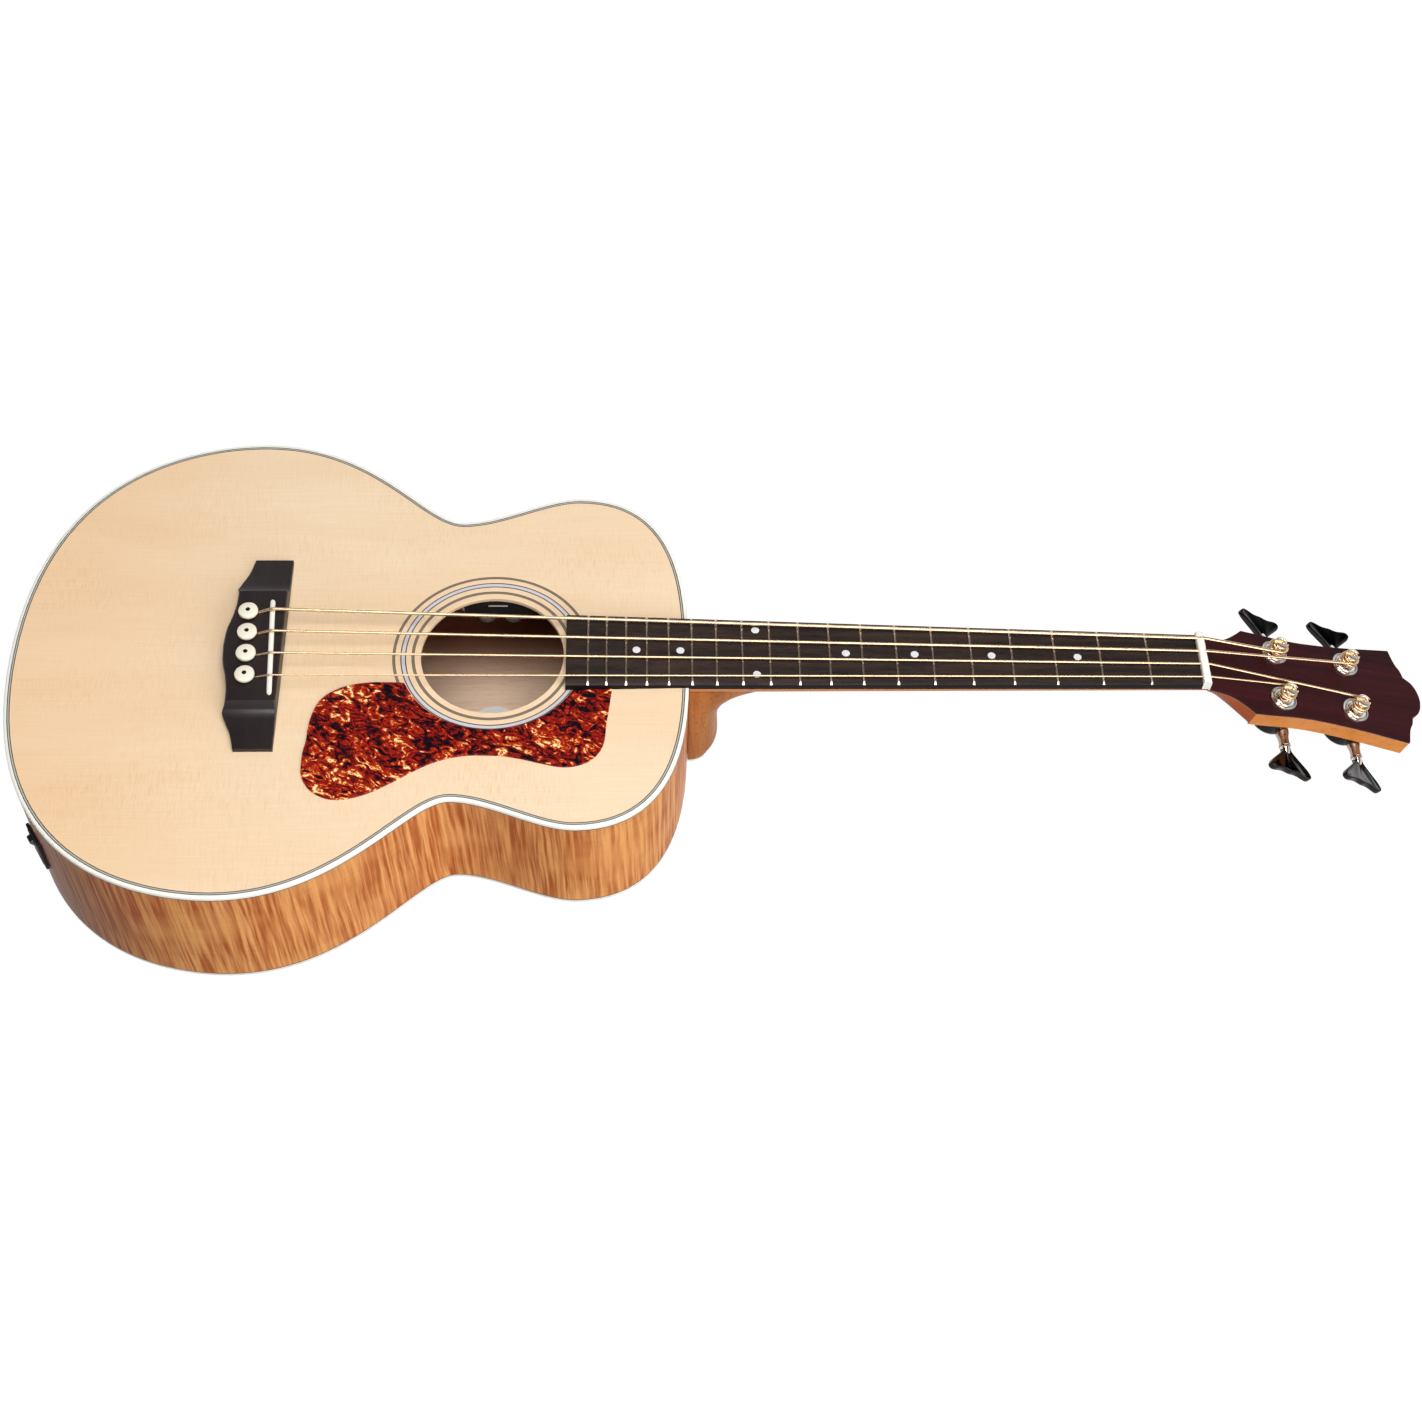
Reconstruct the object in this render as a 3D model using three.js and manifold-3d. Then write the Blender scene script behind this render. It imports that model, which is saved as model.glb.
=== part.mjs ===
// A short-scale acoustic bass guitar with an arched back, lying on its back. Millimetres, +Z up.
// The guitar's own frame: X runs from the saddle to the headstock, Y to the bass side,
// and Z = 0 is the top face of the soundboard. The last lines set that frame level on its back.
import * as THREE from "three";
import { mergeVertices } from "three/addons/utils/BufferGeometryUtils.js";
import Module from "manifold-3d";

const wasm = await Module();
wasm.setup();

const degree = Math.PI / 180;

// Clearances
const seatGap = 0.3; // between pieces that are glued, screwed or seated together
const inlayGap = 0.15; // beside an inlay in its channel
const turnGap = 0.4; // round a piece that turns
const overrun = 4; // how far a cutting shape runs past the piece it cuts
const mergeDistance = 0.001; // corners closer than this are one corner

// Strings, from the bass side to the treble side
const scaleLength = 603.25; // saddle to nut
const stringDiameters = [2.5, 2.1, 1.7, 1.2];
const stringSpacingAtSaddle = 17.6;
const stringSpacingAtNut = 10.4;
const ballEndDiameter = 5.6;
const ballEndLength = 4;

// Body outline along the centre line, from the tail and from the neck's end
const tailToSaddle = 171.6;
const saddleToHole = 139; // to the soundhole's centre
const holeToNeckEnd = 127.6;
const lowerBoutWidth = 365.2;
const lowerBoutFromTail = 148.2;
const waistWidth = 224.8;
const waistFromNeckEnd = 150.9;
const upperBoutWidth = 267.2;
const upperBoutFromNeckEnd = 72.7;
const tailRoundShare = 0.919; // of half the lower bout's width
const lowerBoutRoundShare = 0.24; // of the way from the tail to the lower bout
const intoWaistShares = [0.555, 0.184]; // of the way from the lower bout to the waist
const outOfWaistShares = [0.316, 0.302]; // of the way from the waist to the upper bout
const shoulderShares = [1.045, 0.261]; // of the length left to the neck, and of half the upper bout
const outlineSteps = [6, 7, 4, 7]; // straight pieces in each of the four curves of a half outline

// Body box
const tailDepth = 100.6; // soundboard to back, at the tail
const neckEndDepth = 87.5; // and at the neck
const archRise = 9; // how far the pressed back bulges past its rim
const topThickness = 2.8;
const backThickness = 2.8;
const sideThickness = 2.3;
const bindingWidth = 2.2;
const bindingHeight = 2.8;
const purflingWidth = 1.9;
const backBindingWidth = 1.8;
const liningWidth = 6;
const liningHeight = 13;
const liningFootShare = 0.35; // width of a lining's thin edge over its full width
const archCentreShare = 0.665; // of the body length, from the tail
const archShares = [[1, 0], [0.93, 0.45], [0.8, 0.85], [0.58, 1]]; // ring size, bulge

// Blocks and bars inside
const neckBlockLength = 44;
const neckBlockWidth = 76;
const tailBlockLength = 18;
const tailBlockWidth = 64;
const braceWidth = 8;
const braceHeight = 14;
const braceEndShare = 0.3; // height of a bar's thin ends over its full height
const braceTaperShare = 2; // length of a bar's sloping end over its full height
const xBraceFromSaddle = 62; // saddle to the crossing of the two long bars
const xBraceSlopeShare = 1.2; // sideways run of a long bar for each unit along the body
const xBraceLowerReach = 140;
const xBraceUpperReach = 122;
const upperBraceFromBlock = 9.6; // neck block to the middle of the bar across the upper bout
const upperBraceLength = 218;
const toneBarLengths = [206, 168];
const toneBarPlaces = [[-64, 8], [-108, 4]];
const toneBarAngle = 14 * degree;
const bridgePlateLength = 48;
const bridgePlateWidth = 122;
const bridgePlateThickness = 2.6;

// Soundhole and rosette
const holeRadius = 46.3;
const rosetteDepth = 1.2;
const rosetteInnerRadii = [50.3, 52.3];
const rosetteMiddleRadii = [55.8, 59.5];
const rosetteOuterRadii = [62.8, 64.7];
const roundSteps = 28;

// Pickguard
const guardThickness = 1.2;
const guardWidth = 89.4;
const guardFromSaddle = 22.8;
const guardPastHole = 77.8; // soundhole centre to the guard's end nearest the neck
const guardFromCentreLine = 23.3;
const guardToRosetteGap = 0.6;
const guardShares = [
  [0.62, 0.02], [0.312, 0], [0.244, -0.006], [0.183, 0], [0.123, 0.028], [0.072, 0.084], [0.036, 0.168],
  [0.018, 0.28], [0.01, 0.392], [0.008, 0.503], [0.001, 0.597], [0, 0.69], [0.003, 0.793], [0.02, 0.877],
  [0.05, 0.947], [0.089, 0.989], [0.131, 1], [0.183, 0.979], [0.235, 0.933], [0.295, 0.858], [0.355, 0.774],
  [0.415, 0.699], [0.475, 0.653], [0.536, 0.631], [0.596, 0.631], [0.656, 0.64], [0.716, 0.668],
  [0.768, 0.699], [0.82, 0.727], [0.862, 0.732], [0.905, 0.709], [0.94, 0.662], [0.965, 0.587],
  [0.977, 0.503], [0.982, 0.374], [0.99, 0.243], [1, 0.066],
];

// Bridge and saddle
const bridgeLength = 152.4; // across the soundboard
const bridgeDepth = 37.5; // front to back at the middle
const bridgeFrontFromSaddle = 4.2;
const bridgeHeight = 11;
const bridgeTipHeight = 3.3;
const bridgeBevel = 1.6;
const bridgeBevelLeastShare = 0.3; // of the bevel, at the thin tips
const bridgeShares = [
  [0, 1, 1], [0.17, 0.976, 1], [0.315, 0.904, 1], [0.46, 0.859, 1], [0.578, 0.853, 1], [0.61, 0.872, 0.56],
  [0.639, 0.901, 0.27], [0.74, 0.832, 0.2], [0.85, 0.736, 0.1], [1, 0.664, 0],
]; // along half the length, depth, height over the tips
const saddleThickness = 3;
const saddleBassReach = 35.5;
const saddleTrebleReach = 41.5;
const saddleSetbackAtBass = 4.6; // of the saddle's bass end, for intonation
const saddleSlotDepth = 5.5;
const saddleCrest = 13; // over the soundboard

// Bridge pins
const pinFromSaddle = 17.9;
const pinSpacing = 17;
const pinSkewShare = 0.053; // how far the row of pins turns off square
const pinRadius = 4;
const pinTipRadius = 3.2;
const pinHeadRadius = 6.4;
const pinHeadHeight = 1.6;
const pinDomeHeight = 0.8;
const pinHeadUnderside = 13.2; // over the soundboard
const pinBelowTop = 15;
const pinSteps = 8;

// Neck
const neckPitch = 1.654 * degree; // how far the fretboard leans back from the soundboard
const fretboardRise = 4.02; // playing surface over the soundboard at the body's end
const fretboardThickness = 5.2;
const fretboardPastLastFret = 14.3;
const nutWidth = 41.2;
const widthAtTwelfthFret = 53;
const fretboardArcRise = 0.9; // crown of the playing surface at the twelfth fret
const fretCount = 19;
const fretWidth = 2.2;
const fretHeight = 0.9;
const fretSetIn = 0.7;
const fretCrownShare = 0.45; // width of a fret's top over its foot
const stringOverFirstFret = 0.3;
const neckDepthAtNut = 15;
const neckDepthAtHeel = 18;
const neckStations = [0, 0.12, 0.5, 0.85, 1]; // shares of the way from the body to the nut
const neckRoundSteps = 10;
const neckSquareness = 2; // of its section at the body: 2 is an ellipse, more is squarer
const nutSquareness = 1.6; // and at the nut
const headRootSquareness = 5;
const nutThickness = 5.6;
const nutOverStrings = 0.5;
const heelLevelShares = [
  [0.1, 5.6, 0.9], [0.14, 4.18, 0.91], [0.19, 3.09, 0.93], [0.24, 2.39, 0.95], [0.3, 1.91, 0.96],
  [0.36, 1.57, 0.98], [0.5, 1.24, 0.98], [0.66, 1.17, 0.96], [0.8, 1.14, 0.94], [0.91, 1.14, 0.92],
  [1, 0.92, 0.89],
]; // depth down the heel, its length off the body, its width over the fretboard's
const heelLength = 17;
const heelRoundSteps = 10;
const heelRoundness = 0.8; // of its section: 1 is an ellipse, less is squarer
const heelCapThickness = 2;
const trussRodWidth = 6;
const trussRodHeight = 8;
const trussRodFromBody = 8;
const trussRodFromNut = 12;

// Headstock
const headTilt = 12.95 * degree; // back from the fretboard
const headFaceDrop = 5.6; // below the playing surface, behind the nut
const headLength = 159.8;
const headWidth = 76.6;
const headThickness = 13.5;
const overlayThickness = 1.6;
const headBlendLength = 22; // over which the round neck becomes the flat headstock
const headShares = [
  [0, 0.538], [0.081, 0.587], [0.122, 0.658], [0.161, 0.77], [0.195, 0.888], [0.275, 0.867], [0.363, 0.836],
  [0.438, 0.825], [0.488, 0.828], [0.588, 0.851], [0.707, 0.898], [0.825, 0.961], [0.9, 1], [0.911, 0.809],
  [0.92, 0.692], [0.934, 0.587], [0.941, 0.491], [0.945, 0.431], [0.973, 0.339], [0.991, 0.214], [1, 0.06],
]; // along the headstock, half width

// Tuning machines
const postFromNut = 53; // along the headstock to the first pair
const postSpacing = 53.3;
const postFromCentre = 19;
const postRadius = 4.75;
const postWaistRadius = 4.1;
const postShankRadius = 3.6;
const postTop = 12.8; // over the face
const postCapHeight = 2.2;
const postSlotWidth = 2.4;
const postSlotDepth = 4;
const washerRadius = 9.25;
const washerThickness = 1.2;
const washerNutRadius = 6.4;
const washerNutHeight = 2.4;
const bushWall = 1.2;
const bushLength = 9;
const housingRadius = 13.4;
const housingDepth = 10;
const housingWall = 1.5;
const armRadii = [4.6, 3.5];
const armEnd = 24.6; // from the post, along the key's shaft
const shaftRadius = 1.8;
const shaftFromPost = 6.6; // along the headstock
const wormRadius = 2.3;
const wormLength = 9;
const wormTurns = 3;
const wormStepsEachTurn = 5;
const wormSides = 6;
const shaftInnerEnd = 6.4; // from the post's line to the end of the key's shaft
const gearRadius = 4;
const gearToothHeight = 0.7;
const gearThickness = 3;
const gearTeeth = 16;
const keyCollarRadius = 3.4;
const keyReach = 46.4; // from the post to the tips of the wings
const keySpan = 35;
const keyThickness = 4.4;
const keyEdgeBevel = 1.2;
const keyRestAngles = [18 * degree, 11 * degree, 21 * degree, 16 * degree]; // E, A, D, G
const keyShares = [
  [0, 0.19], [0.12, 0.2], [0.3, 0.42], [0.5, 0.68], [0.68, 0.9], [0.82, 1], [0.94, 0.96], [1, 0.82],
  [0.97, 0.6], [0.93, 0.35], [0.95, 0.12],
]; // along the key, half its span
const latheSteps = 10;
const washerSteps = 14;

// String windings on the posts
const windingTurnCounts = [1.5, 1.7, 1.7, 2.2];
const windingGap = 0.55; // between one turn and the next
const windingStepsEachTurn = 24;
const stringSides = 6;
const ballStations = [1, 2]; // of a string's route, where it is as wide as its ball end
const wayStations = [3, 9]; // from the top of the ball end to the post
const fluteStations = [0, 6]; // along a bridge pin

// Preamplifier under the edge of the soundhole
const preampLength = 46;
const preampWidth = 14;
const preampDepth = 15;
const preampFromHoleCentre = 45.4; // sideways, to its near face
const preampTowardsNeck = 2.5; // from the soundhole's centre to its middle
const wheelRadius = 6.5;
const wheelThickness = 3;
const wheelProud = 2.6; // how far a wheel stands out of the near face
const wheelSpacing = 17.6;
const wheelHubRadius = 1.5;
const wheelHubReach = 6; // up into the preamplifier
const wheelRibs = 16;
const wheelRibDepth = 0.35;

// Battery box in the treble side of the tail
const batteryPlaceShare = 0.31; // along the first curve of the half outline
const batteryAboveBack = 54; // back's rim to the middle of its plate
const batteryPlateHeight = 30;
const batteryPlateWidth = 21;
const batteryPlateThickness = 2;
const batteryDoorHeight = 25;
const batteryDoorWidth = 15;
const batteryDoorThickness = 2.6;
const batteryTubDepth = 27;
const batteryTubWall = 1.5;
const batteryLatchSize = 5.5;
const batteryLatchHeight = 2.6;

// Output jack that is also the strap button
const jackBarrelRadius = 6;
const jackBore = 3.5;
const jackInsideLength = 16;
const jackNutRadius = 8;
const jackNutThickness = 3;
const jackFlangeRadius = 9;
const jackFlangeThickness = 2;
const jackNeckRadius = 5.6;
const jackNeckLength = 7;
const jackEndRadius = 8;
const jackEndThickness = 3;
const jackShareOfDepth = 0.5; // down the tail

// Sizes that follow from the ones above
const tailX = -tailToSaddle;
const holeX = saddleToHole;
const neckEndX = holeX + holeToNeckEnd;
const bodyLength = tailToSaddle + neckEndX;
const rimTaper = (tailDepth - neckEndDepth) / bodyLength;
const sideInset = sideThickness + seatGap;
const purflingInset = bindingWidth + inlayGap;
const topInset = bindingWidth + purflingWidth + inlayGap;
const rimLedge = Math.max(bindingHeight, topThickness) + seatGap;
const fretAt = (fret) => scaleLength / 2 ** (fret / 12);
const fretboardStart = fretAt(fretCount) - fretboardPastLastFret;
const headSetback = scaleLength + nutThickness + 2 * seatGap;
const faceUnderOverlay = -overlayThickness - seatGap;
const bodyFaceX = neckEndX + seatGap;

// Finishes
const finish = (color, roughness, metalness = 0) =>
  new THREE.MeshStandardMaterial({ color, roughness, metalness });
const spruce = finish(0xf0d4a6, 0.35);
const maple = finish(0xb87333, 0.3);
const paleWood = finish(0xd8b98c, 0.7);
const blockWood = finish(0x9c6a42, 0.7);
const neckWood = finish(0xc4793a, 0.45);
const darkWood = finish(0x2a201e, 0.55);
const overlayWood = finish(0x3a1814, 0.2);
const ivory = finish(0xf4efdf, 0.35);
const grayLine = finish(0x80787a, 0.4);
const tortoise = finish(0x8e2412, 0.2);
const bronze = finish(0xd29a66, 0.35, 1);
const chrome = finish(0xd8d8dc, 0.12, 1);
const darkChrome = finish(0x4c4a4a, 0.15, 1);
const steel = finish(0x9a9ca0, 0.4, 1);
const blackPlastic = finish(0x161618, 0.5);

// Frames: the neck leans back from the body, and the headstock leans back from the neck
const neckFrame = new THREE.Matrix4().makeRotationY(neckPitch);
neckFrame.setPosition(0, 0, fretboardRise + neckEndX * Math.tan(neckPitch));
const headFrame = new THREE.Matrix4().makeRotationY(headTilt);
headFrame.setPosition(headSetback, 0, -headFaceDrop);
headFrame.premultiply(neckFrame);
const point = (x, y, z) => new THREE.Vector3(x, y, z);
const onNeck = (x, y, z) => point(x, y, z).applyMatrix4(neckFrame);
const onHead = (x, y, z) => point(x, y, z).applyMatrix4(headFrame);

// A mesh from points and triangles, with its faces turned outward.
function facingOut(points, faces) {
  let volume = 0;
  for (const [a, b, c] of faces) volume += points[a].dot(point(0, 0, 0).crossVectors(points[b], points[c]));
  const turned = volume < 0 ? faces.map(([a, b, c]) => [a, c, b]) : faces;
  const geometry = new THREE.BufferGeometry();
  geometry.setFromPoints(points);
  geometry.setIndex(turned.flat());
  return geometry;
}

// Rings of points joined one to the next; the two ends are capped, or joined when closed.
function loft(rings, closed = false) {
  const count = rings[0].length;
  const points = rings.flat();
  const faces = [];
  const spans = closed ? rings.length : rings.length - 1;
  for (let i = 0; i < spans; i++) {
    const a = i * count;
    const b = ((i + 1) % rings.length) * count;
    for (let j = 0; j < count; j++) {
      const k = (j + 1) % count;
      faces.push([a + j, b + j, b + k], [a + j, b + k, a + k]);
    }
  }
  if (!closed) {
    for (const [ring, isEnd] of [[rings[0], false], [rings.at(-1), true]]) {
      const start = isEnd ? (rings.length - 1) * count : 0;
      const middle = ring.reduce((sum, p) => sum.add(p), point(0, 0, 0)).divideScalar(count);
      points.push(middle);
      for (let j = 0; j < count; j++) {
        const edge = [start + j, start + ((j + 1) % count)];
        faces.push([points.length - 1, ...(isEnd ? edge.reverse() : edge)]);
      }
    }
  }
  return facingOut(points, faces);
}

// A flat outline of [x, y] points, extruded from one height to another.
function plate(outline, low, high, holes = []) {
  const shape = new THREE.Shape(outline.map(([x, y]) => new THREE.Vector2(x, y)));
  for (const hole of holes) shape.holes.push(new THREE.Path(hole.map(([x, y]) => new THREE.Vector2(x, y))));
  const geometry = new THREE.ExtrudeGeometry(shape, { depth: high - low, bevelEnabled: false });
  return geometry.translate(0, 0, low);
}

// A turned piece: [radius, height] points from the axis and back to it, round the Z axis.
function turned(profile, steps = latheSteps) {
  const corners = profile.map(([radius, height]) => new THREE.Vector2(radius, height));
  const geometry = new THREE.LatheGeometry(corners, steps).rotateX(Math.PI / 2);
  const solid = solidOf(geometry);
  return solid.volume() < 0 ? inwardOut(geometry) : geometry;
}

// The same mesh with each triangle turned over.
function inwardOut(geometry) {
  const bare = bareMesh(geometry);
  const corners = Array.from(bare.index.array);
  for (let i = 0; i < corners.length; i += 3) {
    [corners[i + 1], corners[i + 2]] = [corners[i + 2], corners[i + 1]];
  }
  bare.setIndex(corners);
  return bare;
}

function box(x0, x1, y0, y1, z0, z1) {
  const geometry = new THREE.BoxGeometry(x1 - x0, y1 - y0, z1 - z0);
  return geometry.translate((x0 + x1) / 2, (y0 + y1) / 2, (z0 + z1) / 2);
}

function circle(x, y, radius, steps) {
  return Array.from({ length: steps }, (_, i) => {
    const turn = (2 * Math.PI * i) / steps;
    return [x + radius * Math.cos(turn), y + radius * Math.sin(turn)];
  });
}

function drill(x, y, radius, low, high, steps = pinSteps) {
  return plate(circle(x, y, radius, steps), low, high);
}

// Joining and cutting
function bareMesh(geometry) {
  const bare = geometry.index ? geometry.toNonIndexed() : geometry.clone();
  bare.deleteAttribute("normal");
  bare.deleteAttribute("uv");
  return mergeVertices(bare, mergeDistance);
}

function solidOf(geometry) {
  const bare = bareMesh(geometry);
  return new wasm.Manifold(new wasm.Mesh({
    numProp: 3,
    vertProperties: bare.attributes.position.array,
    triVerts: new Uint32Array(bare.index.array),
  }));
}

function geometryOf(solid) {
  const mesh = solid.getMesh();
  const geometry = new THREE.BufferGeometry();
  geometry.setAttribute("position", new THREE.BufferAttribute(mesh.vertProperties, 3));
  geometry.setIndex(new THREE.BufferAttribute(mesh.triVerts, 1));
  return geometry;
}

const cut = (piece, ...tools) =>
  geometryOf(tools.reduce((left, tool) => left.subtract(solidOf(tool)), solidOf(piece)));
const join = (piece, ...more) =>
  geometryOf(more.reduce((sum, next) => sum.add(solidOf(next)), solidOf(piece)));
const within = (piece, region) => geometryOf(solidOf(piece).intersect(solidOf(region)));

const guitar = new THREE.Group();
function add(name, geometry, material, parent = guitar) {
  const mesh = new THREE.Mesh(geometry, material);
  mesh.name = name;
  parent.add(mesh);
  return mesh;
}

// The half outline on the bass side, tail to neck, as four curves
function outlineCurves() {
  const lower = [tailX + lowerBoutFromTail, lowerBoutWidth / 2];
  const waist = [neckEndX - waistFromNeckEnd, waistWidth / 2];
  const upper = [neckEndX - upperBoutFromNeckEnd, upperBoutWidth / 2];
  const lowerToWaist = waist[0] - lower[0];
  const waistToUpper = upper[0] - waist[0];
  const corners = [
    [tailX, 0], [tailX, tailRoundShare * lower[1]],
    [lower[0] - lowerBoutRoundShare * lowerBoutFromTail, lower[1]], lower,
    [lower[0] + intoWaistShares[0] * lowerToWaist, lower[1]],
    [waist[0] - intoWaistShares[1] * lowerToWaist, waist[1]], waist,
    [waist[0] + outOfWaistShares[0] * waistToUpper, waist[1]],
    [upper[0] - outOfWaistShares[1] * waistToUpper, upper[1]], upper,
    [upper[0] + shoulderShares[0] * (neckEndX - upper[0]), upper[1]],
    [neckEndX, shoulderShares[1] * upper[1]], [neckEndX, 0],
  ].map(([x, y]) => new THREE.Vector2(x, y));
  return outlineSteps.map((_, i) => new THREE.CubicBezierCurve(...corners.slice(3 * i, 3 * i + 4)));
}

const rimCurves = outlineCurves();
const rimAt = (curve, share) => {
  const at = curve.getPoint(share);
  const along = curve.getTangent(share);
  return { x: at.x, y: at.y, outX: -along.y, outY: along.x };
};
const bassRim = rimCurves.flatMap((curve, i) => {
  const stations = Array.from({ length: outlineSteps[i] }, (_, j) => rimAt(curve, j / outlineSteps[i]));
  return i < rimCurves.length - 1 ? stations : [...stations, rimAt(curve, 1)];
});
const trebleRim = bassRim.map(({ x, y, outX, outY }) => ({ x, y: -y, outX, outY: -outY }));
const wholeRim = [...bassRim, ...trebleRim.slice(1, -1).reverse()];

const rimDepth = (x) => tailDepth - rimTaper * (x - tailX);
const insetPoint = (station, inset) => [station.x - inset * station.outX, station.y - inset * station.outY];

// A strip round the whole rim, or round one half, from a section of [inset, height at x] corners.
function rimRing(station, section, side) {
  return section.map(([inset, heightAt]) => {
    const [x, y] = insetPoint(station, inset);
    const clearOfJoint = side ? side * Math.max(side * y, seatGap / 2) : y;
    return point(x, clearOfJoint, heightAt(x));
  });
}
const strip = (section) => loft(wholeRim.map((station) => rimRing(station, section, 0)), true);
const halfStrip = (section, side) => loft(
  (side > 0 ? bassRim : trebleRim).map((station) => rimRing(station, section, side)),
);

// Rings that shrink towards the middle of the back, following its arch
const archCentreX = tailX + archCentreShare * bodyLength;
function archRing(inset, sizeShare, bulgeShare, lift) {
  return wholeRim.map((station) => {
    const [rimX, rimY] = insetPoint(station, inset);
    const x = archCentreX + sizeShare * (rimX - archCentreX);
    return point(x, sizeShare * rimY, -rimDepth(x) - bulgeShare * archRise + lift);
  });
}

const backInset = backBindingWidth + inlayGap;
const outside = archShares.map(([size, bulge]) => archRing(backInset, size, bulge, 0));
const inside = archShares.map(([size, bulge]) => archRing(backInset, size, bulge, backThickness));
const back = loft([...outside.reverse(), ...inside]);

// The air inside the body, clear of every wall
const cavity = loft([
  wholeRim.map((station) => point(...insetPoint(station, sideInset), -topThickness - seatGap)),
  ...archShares.map(([size, bulge]) => archRing(sideInset, size, bulge, backThickness + seatGap)),
]);
const insideLinings = plate(
  wholeRim.map((station) => insetPoint(station, sideInset + liningWidth + seatGap)), -tailDepth, 0,
);

// Routes of the strings
const stringCount = stringDiameters.length;
const fromMiddle = (i) => (stringCount - 1) / 2 - i;
const saddleLine = (y) => {
  const share = (y + saddleTrebleReach) / (saddleBassReach + saddleTrebleReach);
  return -share * saddleSetbackAtBass;
};
const posts = [
  { name: "e", pair: 0, side: 1 }, { name: "a", pair: 1, side: 1 },
  { name: "d", pair: 1, side: -1 }, { name: "g", pair: 0, side: -1 },
].map((post) => ({ ...post, s: postFromNut + post.pair * postSpacing, t: post.side * postFromCentre }));

const strings = stringDiameters.map((diameter, i) => {
  const radius = diameter / 2;
  const pinY = fromMiddle(i) * pinSpacing;
  const pinX = -pinFromSaddle - pinSkewShare * pinY;
  const riseX = pinX + pinRadius - radius / 2;
  const ballTop = -topThickness - bridgePlateThickness - 3 * seatGap;
  const saddleY = fromMiddle(i) * stringSpacingAtSaddle;
  const nutY = fromMiddle(i) * stringSpacingAtNut;
  const nutHeight = fretHeight + stringOverFirstFret + radius;
  const post = posts[i];
  const windRadius = postWaistRadius + seatGap + radius;
  const windTop = postTop - postCapHeight - 2 * seatGap - radius;
  const windPitch = diameter + windingGap;
  const turns = windingTurnCounts[i];
  const steps = Math.round(turns * windingStepsEachTurn);
  const winding = Array.from({ length: steps + 1 }, (_, k) => {
    const angle = (k / windingStepsEachTurn) * 2 * Math.PI;
    return onHead(
      post.s + windRadius * Math.sin(angle),
      post.t - post.side * windRadius * Math.cos(angle),
      windTop - (windPitch * angle) / (2 * Math.PI),
    );
  });
  const leadIn = onHead(post.s - diameter, post.t - post.side * windRadius, windTop);
  const tail = winding.at(-1).clone().addScaledVector(
    winding.at(-1).clone().sub(winding.at(-2)).normalize(), diameter,
  );
  const route = [
    point(riseX, pinY, ballTop - ballEndLength), point(riseX, pinY, ballTop - ballEndLength + seatGap),
    point(riseX, pinY, ballTop - seatGap), point(riseX, pinY, ballTop),
    point(riseX, pinY, bridgeHeight + radius / 2),
    point(saddleLine(saddleY), saddleY, saddleCrest + seatGap + radius),
    onNeck(scaleLength, nutY, nutHeight), onNeck(scaleLength + nutThickness, nutY, nutHeight),
    leadIn, ...winding, tail,
  ];
  const ballRadius = ballEndDiameter / 2;
  const radii = route.map((_, k) => (ballStations.includes(k) ? ballRadius : radius));
  return { diameter, radius, pinX, pinY, saddleY, nutY, nutHeight, route, radii, winding };
});

// A round bar along a route, square to it at each point
function sweep(route, radii, sides = stringSides) {
  const along = route.map((p, i) => {
    const before = route[Math.max(i - 1, 0)];
    const after = route[Math.min(i + 1, route.length - 1)];
    const into = p.clone().sub(before).normalize();
    const out = after.clone().sub(p).normalize();
    return into.add(out).normalize();
  });
  let across = point(0, 1, 0);
  const rings = route.map((p, i) => {
    across = across.clone().addScaledVector(along[i], -across.dot(along[i])).normalize();
    const up = across.clone().cross(along[i]);
    return Array.from({ length: sides }, (_, j) => {
      const angle = (2 * Math.PI * j) / sides;
      const corner = p.clone().addScaledVector(across, radii[i] * Math.cos(angle));
      return corner.addScaledVector(up, radii[i] * Math.sin(angle));
    });
  });
  return loft(rings);
}
const stringWay = (string) => {
  const route = string.route.slice(...wayStations);
  return sweep(route, route.map(() => string.radius + seatGap));
};
const stringWays = strings.map(stringWay);

// Body shell
const holeDrill = drill(holeX, 0, holeRadius, -overrun - topThickness, overrun, roundSteps);
const rosetteRing = ([inner, outer], gap, low, high) => cut(
  drill(holeX, 0, outer - gap, low, high, roundSteps),
  drill(holeX, 0, inner + gap, low - overrun, high + overrun, roundSteps),
);
const pinHoles = strings.map(({ pinX, pinY }) =>
  drill(pinX, pinY, pinRadius + seatGap, -pinBelowTop, bridgeHeight + overrun));
const rosettes = [
  ["rosette_inner_ring", rosetteInnerRadii, grayLine],
  ["rosette_middle_ring", rosetteMiddleRadii, ivory],
  ["rosette_outer_ring", rosetteOuterRadii, grayLine],
];
const soundboardBlank = plate(wholeRim.map((station) => insetPoint(station, topInset)), -topThickness, 0);
add("soundboard", cut(
  soundboardBlank, holeDrill, ...pinHoles, ...stringWays,
  ...rosettes.map(([, radii]) => rosetteRing(radii, 0, -rosetteDepth - seatGap, overrun)),
), spruce);
for (const [name, radii, material] of rosettes) {
  add(name, rosetteRing(radii, inlayGap, -rosetteDepth, 0), material);
}
add("back", back, maple);

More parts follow.
